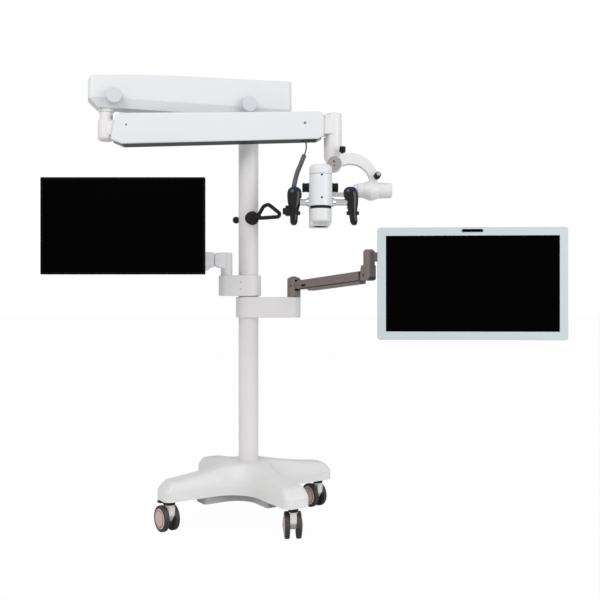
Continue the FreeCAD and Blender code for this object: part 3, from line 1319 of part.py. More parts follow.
def right_arm():
    """Aluminium beam of the right arm with a slot near its root and a dark channel below."""
    z = right_lift_high
    far = right_near + math.hypot(right_far - right_near, right_arm_rise)
    root = slab([(right_near - 11, z - 11, 10), (60, z - 17, 0), (60, z + 17, 0), (right_near - 11, z + 13, 10)],
                "XZ", -14, 14)
    beam = slab([(34, z - 18, 8), (far - 26, z - 18, 0), (far - 26, z + 18, 0), (34, z + 18, 8)], "XZ", -20, 20)
    beam = rounded_edges(beam, 5, lambda e: e.Length > 200 and e.CenterOfMass.z > z)
    window = slab([(66, z - 9, 3.9), (92, z - 9, 3.9), (92, z - 1, 3.9), (66, z - 1, 3.9)], "XZ", -30, 30)
    channel = slab([(92, z - 17, 0), (far - 26, z - 17, 0), (far - 26, z - 28, 3), (102, z - 28, 6)],
                   "XZ", -16, 16)
    nose = slab([(far - 40, z - 12, 0), (far + 11, z - 12, 11), (far + 11, z + 12, 11), (far - 40, z + 12, 0)],
                "XZ", -9.7, 9.7)
    pins = [across(5, right_near, z, 22), across(5, far, z, 17)]
    body = fused([root, beam.cut(window), channel, nose] + pins)
    body.rotate(V(right_near, 0, z), ALONG_Y, -right_lift_slope())
    return right_frame(solid_of(body))


def right_knuckle():
    """Level elbow of the right arm: a rounded foot round the beam's end and an upright post."""
    z = right_lift_high + right_arm_rise
    foot = slab([(right_reach - 24, z - 19, 6), (right_reach + 21, z - 19, 22), (right_reach + 21, right_seam, 0),
                 (right_reach - 21, right_seam, 0), (right_reach - 21, z + 30, 0), (right_reach - 24, z + 20, 6)],
                "XZ", -21, 21)
    foot = foot.common(slab([(right_reach - 30, -21, 4), (right_reach + 21, -21, 12),
                             (right_reach + 21, 21, 12), (right_reach - 30, 21, 4)],
                            "XY", z - 40, right_seam + 5))
    gap = block(right_reach - 60, right_reach + 5, -10, 10, z - 40, z + 22)
    pin = rod(post_pin_r, V(right_reach, 0, right_seam - 2), V(right_reach, 0, right_seam + 40))
    body = fused([foot.cut(gap), pin])
    return right_frame(solid_of(body.cut(across(5 + running, right_far, z, 40))))


right_tilt_y = right_screen_y + 50.0 + 4.0 + 26.0
right_yoke_y = right_tilt_y + 32.0


def right_place(shape):
    """Turns a piece of the right monitor about its own upright middle line."""
    copy = shape.copy()
    copy.rotate(V(right_screen_x, right_tilt_y, 0), UP, right_turn)
    return copy


def right_forearm():
    """Second link of the right arm: a head on the elbow's post, a bar behind the monitor and the
    ears that the monitor tilts in."""
    low = right_seam + seat_gap
    head = lathe([(0, low), (right_elbow_r, low), (right_elbow_r, low + 50), (right_elbow_r - 7, low + 57),
                  (0, low + 57)], V(right_elbow_x, right_elbow_y, 0))
    z = low + 30
    yoke = tilt_yoke(right_screen_x, right_yoke_y, right_screen_high - 20, right_screen_high, right_tilt_y, 22)
    stem = rod(15, V(right_screen_x, right_yoke_y, right_screen_high), V(right_screen_x, right_yoke_y, z))
    swing = math.radians(right_turn)
    stem_x = right_screen_x - (right_yoke_y - right_tilt_y) * math.sin(swing)
    stem_y = right_tilt_y + (right_yoke_y - right_tilt_y) * math.cos(swing)
    bar = tangent_plate(right_elbow_x + 6, right_elbow_y, 15.5, stem_x, stem_y, 15, z - 16, z + 16)
    body = fused([head, bar, right_place(yoke), right_place(stem)])
    pin = rod(post_pin_r + running, V(right_elbow_x, right_elbow_y, low - 1),
              V(right_elbow_x, right_elbow_y, low + 42))
    return solid_of(body.cut(pin))


right_bezel = 29.0


def right_monitor():
    """Casing of the right monitor with its sensor bar, mounting plate and pivot lug."""
    deep = 50.0
    z = right_screen_high
    body = panel(right_wide, right_tall, deep, right_bezel, right_screen_x, right_screen_y, z, 9)
    bar_z = z + right_tall / 2 - 12
    bar = slab([(right_screen_x - 37.5, bar_z - 5.5, 5.4), (right_screen_x + 37.5, bar_z - 5.5, 5.4),
                (right_screen_x + 37.5, bar_z + 5.5, 5.4), (right_screen_x - 37.5, bar_z + 5.5, 5.4)],
               "XZ", right_screen_y - 2, right_screen_y + 1)
    lug = slab([(right_screen_y + deep + 2, z - 14, 0), (right_tilt_y + 9, z - 9, 9),
                (right_tilt_y + 9, z + 9, 9), (right_screen_y + deep + 2, z + 14, 0)],
               "YZ", right_screen_x - 15.7, right_screen_x + 15.7)
    pin = rod(4, V(right_screen_x - 21, right_tilt_y, z), V(right_screen_x + 21, right_tilt_y, z))
    return solid_of(fused([body, bar, lug, pin]))


def right_screen():
    """Glass of the right monitor."""
    return screen(right_wide, right_tall, right_bezel, right_screen_x, right_screen_y, right_screen_high)


def nodes():
    """Every piece by name."""
    pieces = {
        "base_cover": base_cover(), "base_frame": base_frame(), "ballast_tray": ballast_tray(),
        "power_inlet": power_inlet(), "column": column(), "column_handle": column_handle(),
        "handle_knob": handle_knob(), "left_bracket": left_bracket(), "right_bracket": right_bracket(),
        "arm_cover_upper": arm_frame(arm_cover_upper()), "arm_cover_lower": arm_frame(arm_cover_lower()),
        "arm_beam": arm_frame(arm_beam()), "arm_caps": arm_frame(arm_caps()),
        "elbow_knuckle": elbow_knuckle(), "spring_arm_cover": spring_arm_cover(),
        "spring_arm_underside": spring_arm_underside(), "main_link": main_link(),
        "parallel_link": parallel_link(), "gas_spring": gas_spring(), "front_knuckle": front_knuckle(),
        "drop_arm": drop_arm(), "c_arm": c_arm(), "pivot_cap": pivot_cap(), "tilt_housing": tilt_housing(),
        "upper_lock_knob": lock_knob("upper"), "lower_lock_knob": lock_knob("lower"),
        "head_body": head_body(), "front_tube": front_tube(), "objective_ring": objective_ring(),
        "objective_lens": objective_lens(), "magnification_knobs": magnification_knobs(),
        "handle_bars": handle_bars(), "left_handle": left_handle(), "right_handle": right_handle(),
        "binocular_tube": binocular_tube(), "left_eyepiece": eyepiece(-1), "right_eyepiece": eyepiece(1),
        "head_cable": head_cable(),
        "left_swivel": left_swivel(), "left_arm": left_arm(), "left_knuckle": left_knuckle(),
        "left_tilt_head": left_tilt_head(), "left_monitor": left_monitor(), "left_screen": left_screen(),
        "right_swivel": right_swivel(), "right_arm": right_arm(), "right_knuckle": right_knuckle(),
        "right_forearm": right_forearm(), "right_monitor": right_place(right_monitor()),
        "right_screen": right_place(right_screen()),
    }
    places = {"rear_right": 0, "rear_left": 1, "front_left": 2, "front_right": 3}
    for corner, i in places.items():
        x, y = stem_place(i)
        heading = caster_headings[corner]
        pieces[corner + "_fork"] = placed(caster_fork(), x, y, heading)
        pieces[corner + "_wheels"] = placed(caster_wheels(), x, y, heading)
        if corner in braked_casters:
            pieces[corner + "_brake"] = placed(brake_pedal(), x, y, heading)
    return pieces


def main():
    """Writes every piece to its own file."""
    os.makedirs("parts", exist_ok=True)
    for name, shape in nodes().items():
        shape.exportStep("parts/" + name + ".step")
        if not shape.isValid() or not shape.Solids:
            print("check", name, shape.isValid(), len(shape.Solids))


main()
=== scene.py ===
import json
import math

import bpy
import numpy as np
from bpy.props import FloatProperty, FloatVectorProperty, IntProperty, PointerProperty
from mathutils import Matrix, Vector


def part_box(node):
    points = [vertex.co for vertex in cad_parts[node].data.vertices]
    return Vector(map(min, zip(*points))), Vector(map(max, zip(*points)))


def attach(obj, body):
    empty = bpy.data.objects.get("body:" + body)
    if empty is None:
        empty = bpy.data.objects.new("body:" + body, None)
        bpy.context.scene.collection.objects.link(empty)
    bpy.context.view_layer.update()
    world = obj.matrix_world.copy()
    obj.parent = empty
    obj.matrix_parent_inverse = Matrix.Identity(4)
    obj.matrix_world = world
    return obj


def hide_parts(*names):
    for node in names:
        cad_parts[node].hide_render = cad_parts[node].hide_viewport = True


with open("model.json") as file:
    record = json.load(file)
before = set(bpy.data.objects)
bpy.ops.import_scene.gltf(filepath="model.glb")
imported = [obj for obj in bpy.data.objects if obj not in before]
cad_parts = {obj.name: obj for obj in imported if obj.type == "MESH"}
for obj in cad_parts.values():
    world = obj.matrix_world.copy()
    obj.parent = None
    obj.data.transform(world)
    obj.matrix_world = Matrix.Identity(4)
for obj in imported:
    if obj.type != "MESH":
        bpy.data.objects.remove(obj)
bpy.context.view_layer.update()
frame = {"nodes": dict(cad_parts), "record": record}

bl_info = {
    "name": "Surgical microscope finish",
    "version": (1, 0, 0),
    "blender": (4, 5, 0),
    "location": "View3D > Sidebar > Microscope",
    "description": "Finishes, small trims, cable, floor, lamps and camera for a floor-standing microscope",
    "category": "Object",
}

NODES = frame["nodes"]
JOINTS = {joint["name"]: joint for joint in frame["record"]["behaviour"]["joints"]}
BODY_OF = {node: body for body, held in frame["record"]["behaviour"]["bodies"].items() for node in held}
SLOT_OF = {part["node"]: part["material_slot"] for part in frame["record"]["subparts"]}
CORNERS = ("front_left", "front_right", "rear_left", "rear_right")
UP = np.array((0.0, 0.0, 1.0))
# A sight line from the front starts at y = NEAR and runs along AWAY
AWAY = np.array((0.0, 1.0, 0.0))
NEAR = -1.0
CAP_R = 0.0385
CAP_RISE = 0.006
WHEEL_FACE = 0.031


class FinishColours(bpy.types.PropertyGroup):
    """Colours of the finishes"""

    shell: FloatVectorProperty(name="Shell", description="Moulded covers of the arms", subtype="COLOR",
                               size=3, min=0, max=1, default=(0.72, 0.73, 0.75))
    paint: FloatVectorProperty(name="Paint", description="Painted column, brackets and castings",
                               subtype="COLOR", size=3, min=0, max=1, default=(0.75, 0.735, 0.735))
    base: FloatVectorProperty(name="Base", description="Moulded cover of the base", subtype="COLOR",
                              size=3, min=0, max=1, default=(0.75, 0.745, 0.745))
    bezel: FloatVectorProperty(name="Bezel", description="Frame of the right display", subtype="COLOR",
                               size=3, min=0, max=1, default=(0.53, 0.59, 0.605))
    silver: FloatVectorProperty(name="Silver", description="Blasted aluminium of the right arm",
                                subtype="COLOR", size=3, min=0, max=1, default=(0.235, 0.195, 0.185))
    wheel_cap: FloatVectorProperty(name="Wheel cap", description="Caps of the caster wheels",
                                   subtype="COLOR", size=3, min=0, max=1, default=(0.60, 0.45, 0.41))
    black: FloatVectorProperty(name="Black", description="Black plastic and rubber", subtype="COLOR",
                               size=3, min=0, max=1, default=(0.018, 0.017, 0.019))


class TrimSizes(bpy.types.PropertyGroup):
    """Sizes of the small trims"""

    plug: FloatProperty(name="Plug", description="Radius of the plugs that close the covers' screw holes",
                        default=0.0042, min=0.001, max=0.02, unit="LENGTH")
    rib_pitch: FloatProperty(name="Rib pitch", description="Distance between the sleeve's ribs",
                             default=0.0042, min=0.002, max=0.02, unit="LENGTH")
    sleeve: FloatProperty(name="Sleeve", description="Outer radius of the corrugated sleeve",
                          default=0.0092, min=0.002, max=0.03, unit="LENGTH")
    lead: FloatProperty(name="Lead", description="Radius of the thin lead", default=0.003,
                        min=0.001, max=0.01, unit="LENGTH")
    marks: IntProperty(name="Touch marks", description="Marks of the display's touch keys", default=5,
                       min=0, max=12)


class StageSettings(bpy.types.PropertyGroup):
    """Camera, lamps and floor"""

    key: FloatProperty(name="Key lamp", description="Power of the soft lamp above and in front",
                       default=47.0, min=0, max=2000, unit="POWER")
    fill: FloatProperty(name="Fill lamp", description="Power of the lamp at the right", default=36.0,
                        min=0, max=2000, unit="POWER")
    sky: FloatProperty(name="Room light", description="Strength of the light from all round",
                       default=0.64, min=0, max=5)
    lens: FloatProperty(name="Lens", description="Focal length", default=47.4, min=10, max=200,
                        unit="CAMERA")


# Shader groups and materials

def new_group(name, inputs, outputs):
    """An empty node group with named float and colour sockets."""
    group = bpy.data.node_groups.new(name, "ShaderNodeTree")
    for label, kind, value in inputs:
        socket = group.interface.new_socket(name=label, in_out="INPUT", socket_type=kind)
        socket.default_value = value
    for label, kind in outputs:
        group.interface.new_socket(name=label, in_out="OUTPUT", socket_type=kind)
    start = group.nodes.new("NodeGroupInput")
    end = group.nodes.new("NodeGroupOutput")
    return group, start, end


def grain_group():
    """Group for moulded and painted skins: a slow tone drift over the colour, a fine pebble for the
    height and a roughness that drifts with it."""
    group, start, end = new_group(
        "SkinGrain",
        (("Colour", "NodeSocketColor", (0.8, 0.8, 0.8, 1)), ("Drift", "NodeSocketFloat", 0.04),
         ("Pebble Scale", "NodeSocketFloat", 900.0), ("Roughness", "NodeSocketFloat", 0.4),
         ("Roughness Drift", "NodeSocketFloat", 0.08)),
        (("Colour", "NodeSocketColor"), ("Roughness", "NodeSocketFloat"), ("Height", "NodeSocketFloat")))
    nodes, links = group.nodes, group.links
    place = nodes.new("ShaderNodeTexCoord")
    drift = nodes.new("ShaderNodeTexNoise")
    drift.inputs["Scale"].default_value = 3.2
    drift.inputs["Detail"].default_value = 3.0
    links.new(place.outputs["Object"], drift.inputs["Vector"])
    pebble = nodes.new("ShaderNodeTexNoise")
    pebble.inputs["Detail"].default_value = 2.0
    links.new(place.outputs["Object"], pebble.inputs["Vector"])
    links.new(start.outputs["Pebble Scale"], pebble.inputs["Scale"])
    centred = nodes.new("ShaderNodeMath")
    centred.operation = "SUBTRACT"
    centred.inputs[1].default_value = 0.5
    links.new(drift.outputs["Fac"], centred.inputs[0])
    share = nodes.new("ShaderNodeMath")
    share.operation = "MULTIPLY_ADD"
    share.inputs[2].default_value = 1.0
    links.new(centred.outputs[0], share.inputs[0])
    links.new(start.outputs["Drift"], share.inputs[1])
    tint = nodes.new("ShaderNodeVectorMath")
    tint.operation = "SCALE"
    links.new(start.outputs["Colour"], tint.inputs[0])
    links.new(share.outputs[0], tint.inputs["Scale"])
    links.new(tint.outputs[0], end.inputs["Colour"])
    rough = nodes.new("ShaderNodeMath")
    rough.operation = "MULTIPLY_ADD"
    links.new(centred.outputs[0], rough.inputs[0])
    links.new(start.outputs["Roughness Drift"], rough.inputs[1])
    links.new(start.outputs["Roughness"], rough.inputs[2])
    links.new(rough.outputs[0], end.inputs["Roughness"])
    links.new(pebble.outputs["Fac"], end.inputs["Height"])
    return group


def dust_group():
    """Group that settles a pale film on upward faces near the floor: the share grows with the
    normal's upward part and fades with height."""
    group, start, end = new_group(
        "FloorDust",
        (("Colour", "NodeSocketColor", (0.5, 0.5, 0.5, 1)), ("Amount", "NodeSocketFloat", 0.2),
         ("Fade Height", "NodeSocketFloat", 0.3)),
        (("Colour", "NodeSocketColor"),))
    nodes, links = group.nodes, group.links
    place = nodes.new("ShaderNodeTexCoord")
    facing = nodes.new("ShaderNodeNewGeometry")
    split = nodes.new("ShaderNodeSeparateXYZ")
    links.new(facing.outputs["Normal"], split.inputs[0])
    high = nodes.new("ShaderNodeSeparateXYZ")
    links.new(place.outputs["Object"], high.inputs[0])
    fade = nodes.new("ShaderNodeMapRange")
    fade.inputs["From Min"].default_value = 0.0
    fade.inputs["To Min"].default_value = 1.0
    fade.inputs["To Max"].default_value = 0.0
    links.new(high.outputs["Z"], fade.inputs["Value"])
    links.new(start.outputs["Fade Height"], fade.inputs["From Max"])
    speck = nodes.new("ShaderNodeTexNoise")
    speck.inputs["Scale"].default_value = 45.0
    links.new(place.outputs["Object"], speck.inputs["Vector"])
    up = nodes.new("ShaderNodeMath")
    up.operation = "MULTIPLY"
    up.use_clamp = True
    links.new(split.outputs["Z"], up.inputs[0])
    links.new(fade.outputs[0], up.inputs[1])
    patch = nodes.new("ShaderNodeMath")
    patch.operation = "MULTIPLY"
    links.new(up.outputs[0], patch.inputs[0])
    links.new(speck.outputs["Fac"], patch.inputs[1])
    amount = nodes.new("ShaderNodeMath")
    amount.operation = "MULTIPLY"
    links.new(patch.outputs[0], amount.inputs[0])
    links.new(start.outputs["Amount"], amount.inputs[1])
    blend = nodes.new("ShaderNodeMix")
    blend.data_type = "RGBA"
    blend.inputs["B"].default_value = (0.42, 0.40, 0.38, 1)
    links.new(amount.outputs[0], blend.inputs["Factor"])
    links.new(start.outputs["Colour"], blend.inputs["A"])
    links.new(blend.outputs["Result"], end.inputs["Colour"])
    return group


def tone_and_painted_light_group():
    """Group that changes to a second colour: by the share of a height above a level, and by how far
    the surface looks down. The height share paints a blue glint on the handle tops; the looking-down
    share blackens the right arm's down-facing faces, partly its black channel and partly painted shade."""
    group, start, end = new_group(
        "ToneAndPaintedLight",
        (("Colour", "NodeSocketColor", (0.5, 0.5, 0.5, 1)), ("Second", "NodeSocketColor", (0, 0, 0, 1)),
         ("Level", "NodeSocketFloat", 100.0), ("Soft", "NodeSocketFloat", 0.01),
         ("UnderBlackAndShade", "NodeSocketFloat", 0.0)),
        (("Colour", "NodeSocketColor"),))
    nodes, links = group.nodes, group.links
    place = nodes.new("ShaderNodeTexCoord")
    high = nodes.new("ShaderNodeSeparateXYZ")
    links.new(place.outputs["Object"], high.inputs[0])
    above = nodes.new("ShaderNodeMath")
    above.operation = "SUBTRACT"
    links.new(high.outputs["Z"], above.inputs[0])
    links.new(start.outputs["Level"], above.inputs[1])
    share = nodes.new("ShaderNodeMath")
    share.operation = "DIVIDE"
    share.use_clamp = True
    links.new(above.outputs[0], share.inputs[0])
    links.new(start.outputs["Soft"], share.inputs[1])
    facing = nodes.new("ShaderNodeNewGeometry")
    split = nodes.new("ShaderNodeSeparateXYZ")
    links.new(facing.outputs["Normal"], split.inputs[0])
    # Share of looking down: on the right arm it blackens the underside, partly a black channel and partly
    # painted shade.
    down = nodes.new("ShaderNodeMapRange")
    down.inputs["From Min"].default_value = -0.25
    down.inputs["From Max"].default_value = -0.45
    links.new(split.outputs["Z"], down.inputs["Value"])
    under_black_and_shade = nodes.new("ShaderNodeMath")
    under_black_and_shade.operation = "MULTIPLY"
    links.new(down.outputs[0], under_black_and_shade.inputs[0])
    links.new(start.outputs["UnderBlackAndShade"], under_black_and_shade.inputs[1])
    both = nodes.new("ShaderNodeMath")
    both.operation = "MAXIMUM"
    links.new(share.outputs[0], both.inputs[0])
    links.new(under_black_and_shade.outputs[0], both.inputs[1])
    blend = nodes.new("ShaderNodeMix")
    blend.data_type = "RGBA"
    links.new(both.outputs[0], blend.inputs["Factor"])
    links.new(start.outputs["Colour"], blend.inputs["A"])
    links.new(start.outputs["Second"], blend.inputs["B"])
    links.new(blend.outputs["Result"], end.inputs["Colour"])
    return group


GROUPS = {}
GROUP_MAKERS = {"SkinGrain": grain_group, "FloorDust": dust_group, "ToneAndPaintedLight": tone_and_painted_light_group}


def group_node(material, name, **values):
    """Places a shared group in a material with its own values."""
    if name not in GROUPS:
        GROUPS[name] = GROUP_MAKERS[name]()
    node = material.node_tree.nodes.new("ShaderNodeGroup")
    node.node_tree = GROUPS[name]
    for label, value in values.items():
        node.inputs[label.replace("_", " ")].default_value = value
    return node


def skin(name, colour, roughness, drift=0.04, pebble=900.0, height=0.02, dust=0.0, metallic=0.0,
         coat=0.0, specular=0.5, anisotropy=0.0, roughness_drift=0.08, bump_distance=0.0004, second=None):
    """A finished surface: grain group, optional second tone and dust groups, bump and a Principled
    shader."""
    material = bpy.data.materials.new(name)
    material.use_nodes = True
    nodes, links = material.node_tree.nodes, material.node_tree.links
    shader = nodes["Principled BSDF"]
    grain = group_node(material, "SkinGrain", Colour=(*colour, 1), Drift=drift, Pebble_Scale=pebble,
                       Roughness=roughness, Roughness_Drift=roughness_drift)
    tone = grain.outputs["Colour"]
    if second:
        change = group_node(material, "ToneAndPaintedLight", **second)
        links.new(tone, change.inputs["Colour"])
        tone = change.outputs["Colour"]
    if dust:
        film = group_node(material, "FloorDust", Amount=dust)
        links.new(tone, film.inputs["Colour"])
        tone = film.outputs["Colour"]
    links.new(tone, shader.inputs["Base Color"])
    links.new(grain.outputs["Roughness"], shader.inputs["Roughness"])
    bump = nodes.new("ShaderNodeBump")
    bump.inputs["Strength"].default_value = height
    bump.inputs["Distance"].default_value = bump_distance
    links.new(grain.outputs["Height"], bump.inputs["Height"])
    links.new(bump.outputs["Normal"], shader.inputs["Normal"])
    shader.inputs["Metallic"].default_value = metallic
    shader.inputs["Coat Weight"].default_value = coat
    shader.inputs["Coat Roughness"].default_value = 0.12
    shader.inputs["Specular IOR Level"].default_value = specular
    shader.inputs["Anisotropic"].default_value = anisotropy
    material.diffuse_color = (*colour, 1)
    return material


def shell_skin():
    return skin("ArmShell", bpy.context.scene.microscope_colours.shell, 0.38, 0.035, 1400, 0.05, coat=0.12)


def shaded_shell_skin():
    # The shell colour made 4% darker for the lower tray: painted shade of its downward chamfer.
    shell = bpy.context.scene.microscope_colours.shell
    return skin("ArmShellShaded", [tone * 0.96 for tone in shell], 0.42, 0.04, 1400, 0.05, coat=0.08)


def paint_skin():
    return skin("CastingPaint", bpy.context.scene.microscope_colours.paint, 0.40, 0.05, 700, 0.10,
                coat=0.15, bump_distance=0.0006)


def base_skin():
    return skin("BaseShell", bpy.context.scene.microscope_colours.base, 0.42, 0.05, 1100, 0.06, dust=0.30,
                coat=0.06)


def frame_skin():
    return skin("FramePowder", (0.10, 0.10, 0.105), 0.62, 0.12, 500, 0.35, dust=0.35)


def ballast_skin():
    return skin("BallastPaint", (0.42, 0.42, 0.43), 0.55, 0.12, 260, 0.45, dust=0.25)


def rubber_skin():
    black = bpy.context.scene.microscope_colours.black
    return skin("GripRubber", black, 0.66, 0.20, 800, 0.30, specular=0.14)


def black_skin():
    black = bpy.context.scene.microscope_colours.black
    return skin("BlackMoulding", [tone * 0.7 for tone in black], 0.48, 0.15, 1300, 0.18, specular=0.2)


def handle_skin():
    black = bpy.context.scene.microscope_colours.black
    # Above z = 1.288 the handle tops turn dark blue: a painted blue glint on the gloss black.
    painted_blue_glint = {"Second": (0.006, 0.013, 0.045, 1), "Level": 1.288, "Soft": 0.012}
    return skin("HandleGloss", [tone * 0.35 for tone in black], 0.16, 0.10, 300, 0.02, coat=0.35,
                specular=0.2, second=painted_blue_glint)


def cap_skin():
    return skin("PivotCap", (0.60, 0.62, 0.655), 0.34, 0.05, 1200, 0.05, coat=0.1)


def disc_skin():
    return skin("PivotDisc", (0.34, 0.325, 0.32), 0.36, 0.07, 600, 0.08, metallic=0.25, anisotropy=0.3)


def bright_skin():
    return skin("BrightBar", (0.66, 0.66, 0.67), 0.20, 0.05, 400, 0.03, metallic=0.9)


def steel_skin():
    return skin("TurnedSteel", (0.50, 0.50, 0.51), 0.34, 0.10, 600, 0.12, metallic=1.0, anisotropy=0.4)


def silver_skin():
    # Faces that look down turn near black: partly the black channel under the beam, partly painted shade of
    # the underside.
    return skin("BlastedArm", bpy.context.scene.microscope_colours.silver, 0.40, 0.16, 1600, 0.22,
                metallic=0.55, roughness_drift=0.15, second={"Second": (0.02, 0.02, 0.02, 1), "UnderBlackAndShade": 1.0})


def bezel_skin():
    return skin("PaleBezel", bpy.context.scene.microscope_colours.bezel, 0.36, 0.03, 1500, 0.05, coat=0.15)


def dark_bezel_skin():
    return skin("DarkBezel", (0.0016, 0.0016, 0.0018), 0.55, 0.15, 1500, 0.12, specular=0.06)


def tyre_skin():
    return skin("CasterTread", (0.022, 0.020, 0.021), 0.58, 0.30, 420, 0.5, dust=0.45)


def fork_skin():
    return skin("CasterFork", (0.76, 0.74, 0.725), 0.46, 0.08, 900, 0.15, dust=0.3)


def wheel_cap_skin():
    return skin("WheelCap", bpy.context.scene.microscope_colours.wheel_cap, 0.44, 0.08, 900, 0.12, dust=0.2)


def sleeve_skin():
    return skin("CableSleeve", (0.105, 0.10, 0.102), 0.50, 0.18, 900, 0.2)


def lead_skin():
    return skin("ThinLead", (0.16, 0.155, 0.15), 0.48, 0.15, 900, 0.15)


def mark_skin():
    return skin("GreyMark", (0.18, 0.19, 0.20), 0.5, 0.10, 900, 0.1)


def screen_skin():
    """Dark, anti-glare display glass: near-black with almost no mirror image."""
    return skin("DisplayGlass", (0.0004, 0.0004, 0.0006), 0.22, 0.10, 2200, 0.01, specular=0.02)


def lens_skin():
    """Coated front lens: clear glass with a cool tint."""
    material = bpy.data.materials.new("FrontLens")
    material.use_nodes = True
    nodes, links = material.node_tree.nodes, material.node_tree.links
    shader = nodes["Principled BSDF"]
    smudge = nodes.new("ShaderNodeTexNoise")
    smudge.inputs["Scale"].default_value = 60.0
    place = nodes.new("ShaderNodeTexCoord")
    links.new(place.outputs["Object"], smudge.inputs["Vector"])
    spread = nodes.new("ShaderNodeMapRange")
    spread.inputs["To Min"].default_value = 0.01
    spread.inputs["To Max"].default_value = 0.06
    links.new(smudge.outputs["Fac"], spread.inputs["Value"])
    links.new(spread.outputs[0], shader.inputs["Roughness"])
    shader.inputs["Base Color"].default_value = (0.72, 0.86, 0.93, 1)
    shader.inputs["Transmission Weight"].default_value = 0.9
    shader.inputs["Coat Weight"].default_value = 0.5
    return material


FINISHES = {
    "shell_white": shell_skin, "tray_white": shaded_shell_skin, "metal_white": paint_skin, "base_white": base_skin,
    "frame_grey": frame_skin, "ballast_grey": ballast_skin, "black_rubber": rubber_skin,
    "black_plastic": black_skin, "grip_black": handle_skin, "cap_grey": cap_skin, "disc_grey": disc_skin,
    "bright_bar": bright_skin, "steel": steel_skin, "arm_silver": silver_skin, "bezel_light": bezel_skin,
    "bezel_black": dark_bezel_skin, "screen_glass": screen_skin, "tyre_grey": tyre_skin,
    "fork_grey": fork_skin, "lens_glass": lens_skin, "cable_grey": sleeve_skin,
    "wheel_cap": wheel_cap_skin, "lead_grey": lead_skin, "mark_grey": mark_skin,
}
MADE = {}


def finish(name):
    """The material of a finish, made on its first use."""
    if name not in MADE:
        MADE[name] = FINISHES[name]()
    return MADE[name]


# Surfaces

def piece(name, points, faces, body, finish_name, slot, angle=40.0):
    """Puts computed points and faces into a mesh object that rides on a body."""
    mesh = bpy.data.meshes.new(name)
    mesh.from_pydata(np.asarray(points, float).tolist(), [], [list(map(int, face)) for face in faces])
    mesh.validate()
    mesh.update()
    made = bpy.data.objects.new(name, mesh)
    bpy.context.scene.collection.objects.link(made)
    mesh.polygons.foreach_set("use_smooth", np.ones(len(mesh.polygons), bool))
    mesh.set_sharp_from_angle(angle=math.radians(angle))
    mesh.materials.append(finish(finish_name))
    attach(made, body)
    return made


def grid_faces(rows, columns, wrap):
    """Quads of a rows by columns grid; wrap joins the last column to the first."""
    row, column = np.meshgrid(np.arange(rows - 1), np.arange(columns if wrap else columns - 1), indexing="ij")
    follow = (column + 1) % columns
    quads = np.stack([row * columns + column, row * columns + follow,
                      (row + 1) * columns + follow, (row + 1) * columns + column], -1)
    return quads.reshape(-1, 4)


def side_axes(axis):
    """Two unit vectors square to an axis and to each other, right-handed with it."""
    axis = np.asarray(axis, float) / np.linalg.norm(axis)
    helper = UP if abs(axis[2]) < 0.9 else np.array((1.0, 0.0, 0.0))
    first = np.cross(helper, axis)
    first /= np.linalg.norm(first)
    return axis, first, np.cross(axis, first)


def turned(base, axis, radii, heights, count=48):
    """Points and faces of a turned surface: point(i, t) = base + height_i * axis + radius_i *
    (cos t * first + sin t * second), closed by a fan at both ends."""
    axis, first, second = side_axes(axis)
    angle = np.linspace(0, 2 * np.pi, count + 1)[:-1]
    ring = np.cos(angle)[:, None] * first + np.sin(angle)[:, None] * second
    radii, heights = np.asarray(radii, float), np.asarray(heights, float)
    points = (np.asarray(base, float) + heights[:, None, None] * axis + radii[:, None, None] * ring[None])
    points = points.reshape(-1, 3)
    faces = grid_faces(len(radii), count, True).tolist()
    faces.append(list(range(count))[::-1])
    faces.append([(len(radii) - 1) * count + k for k in range(count)])
    return points, faces


def joined(parts):
    """Several point and face sets as one set."""
    points, faces, start = [], [], 0
    for some_points, some_faces in parts:
        points.append(np.asarray(some_points))
        faces += [[start + k for k in face] for face in some_faces]
        start += len(some_points)
    return np.concatenate(points), faces


def swept(path, radii, count=20):
    """Points and faces of a round tube along a path: each ring stands square to the path, and its
    first direction is carried along by removing the part that lies along the path."""
    path = np.asarray(path, float)
    along = np.gradient(path, axis=0)
    along /= np.linalg.norm(along, axis=1)[:, None]
    first = np.empty_like(path)
    carried = side_axes(along[0])[1]
    for i, way in enumerate(along):
        carried = carried - way * np.dot(carried, way)
        carried /= np.linalg.norm(carried)
        first[i] = carried
    second = np.cross(along, first)
    angle = np.linspace(0, 2 * np.pi, count + 1)[:-1]
    ring = (np.cos(angle)[None, :, None] * first[:, None] + np.sin(angle)[None, :, None] * second[:, None])
    points = (path[:, None] + np.asarray(radii)[:, None, None] * ring).reshape(-1, 3)
    faces = grid_faces(len(path), count, True).tolist()
    faces.append(list(range(count))[::-1])
    faces.append([(len(path) - 1) * count + k for k in range(count)])
    return points, faces


def prism(corners, first, second, base, depth, along):
    """A thin plate: corners (a, b) become base + a * first + b * second, at depth 0 and at depth."""
    corners = np.asarray(corners, float)
    flat = np.asarray(base) + corners[:, :1] * np.asarray(first) + corners[:, 1:] * np.asarray(second)
    points = np.concatenate([flat, flat + np.asarray(along) * depth])
    count = len(corners)
    faces = [list(range(count))[::-1], [count + k for k in range(count)]]
    faces += [[k, (k + 1) % count, count + (k + 1) % count, count + k] for k in range(count)]
    return points, faces


def stadium(half_long, half_high, count=12):
    """Corners of a rounded bar: straight sides and half-round ends."""
    turn = np.linspace(-np.pi / 2, np.pi / 2, count)
    straight = half_long - half_high
    right = np.stack([straight + half_high * np.cos(turn), half_high * np.sin(turn)], 1)
    return np.concatenate([right, -right])


def ray_hit(node, start, way):
    """Where a straight line from start along way first meets a CAD node."""
    made = NODES[node]
    hit, place, _, _ = made.ray_cast(Vector(start), Vector(way))
    if not hit:
        raise RuntimeError("nothing to stand on at " + node)
    return np.array(place)


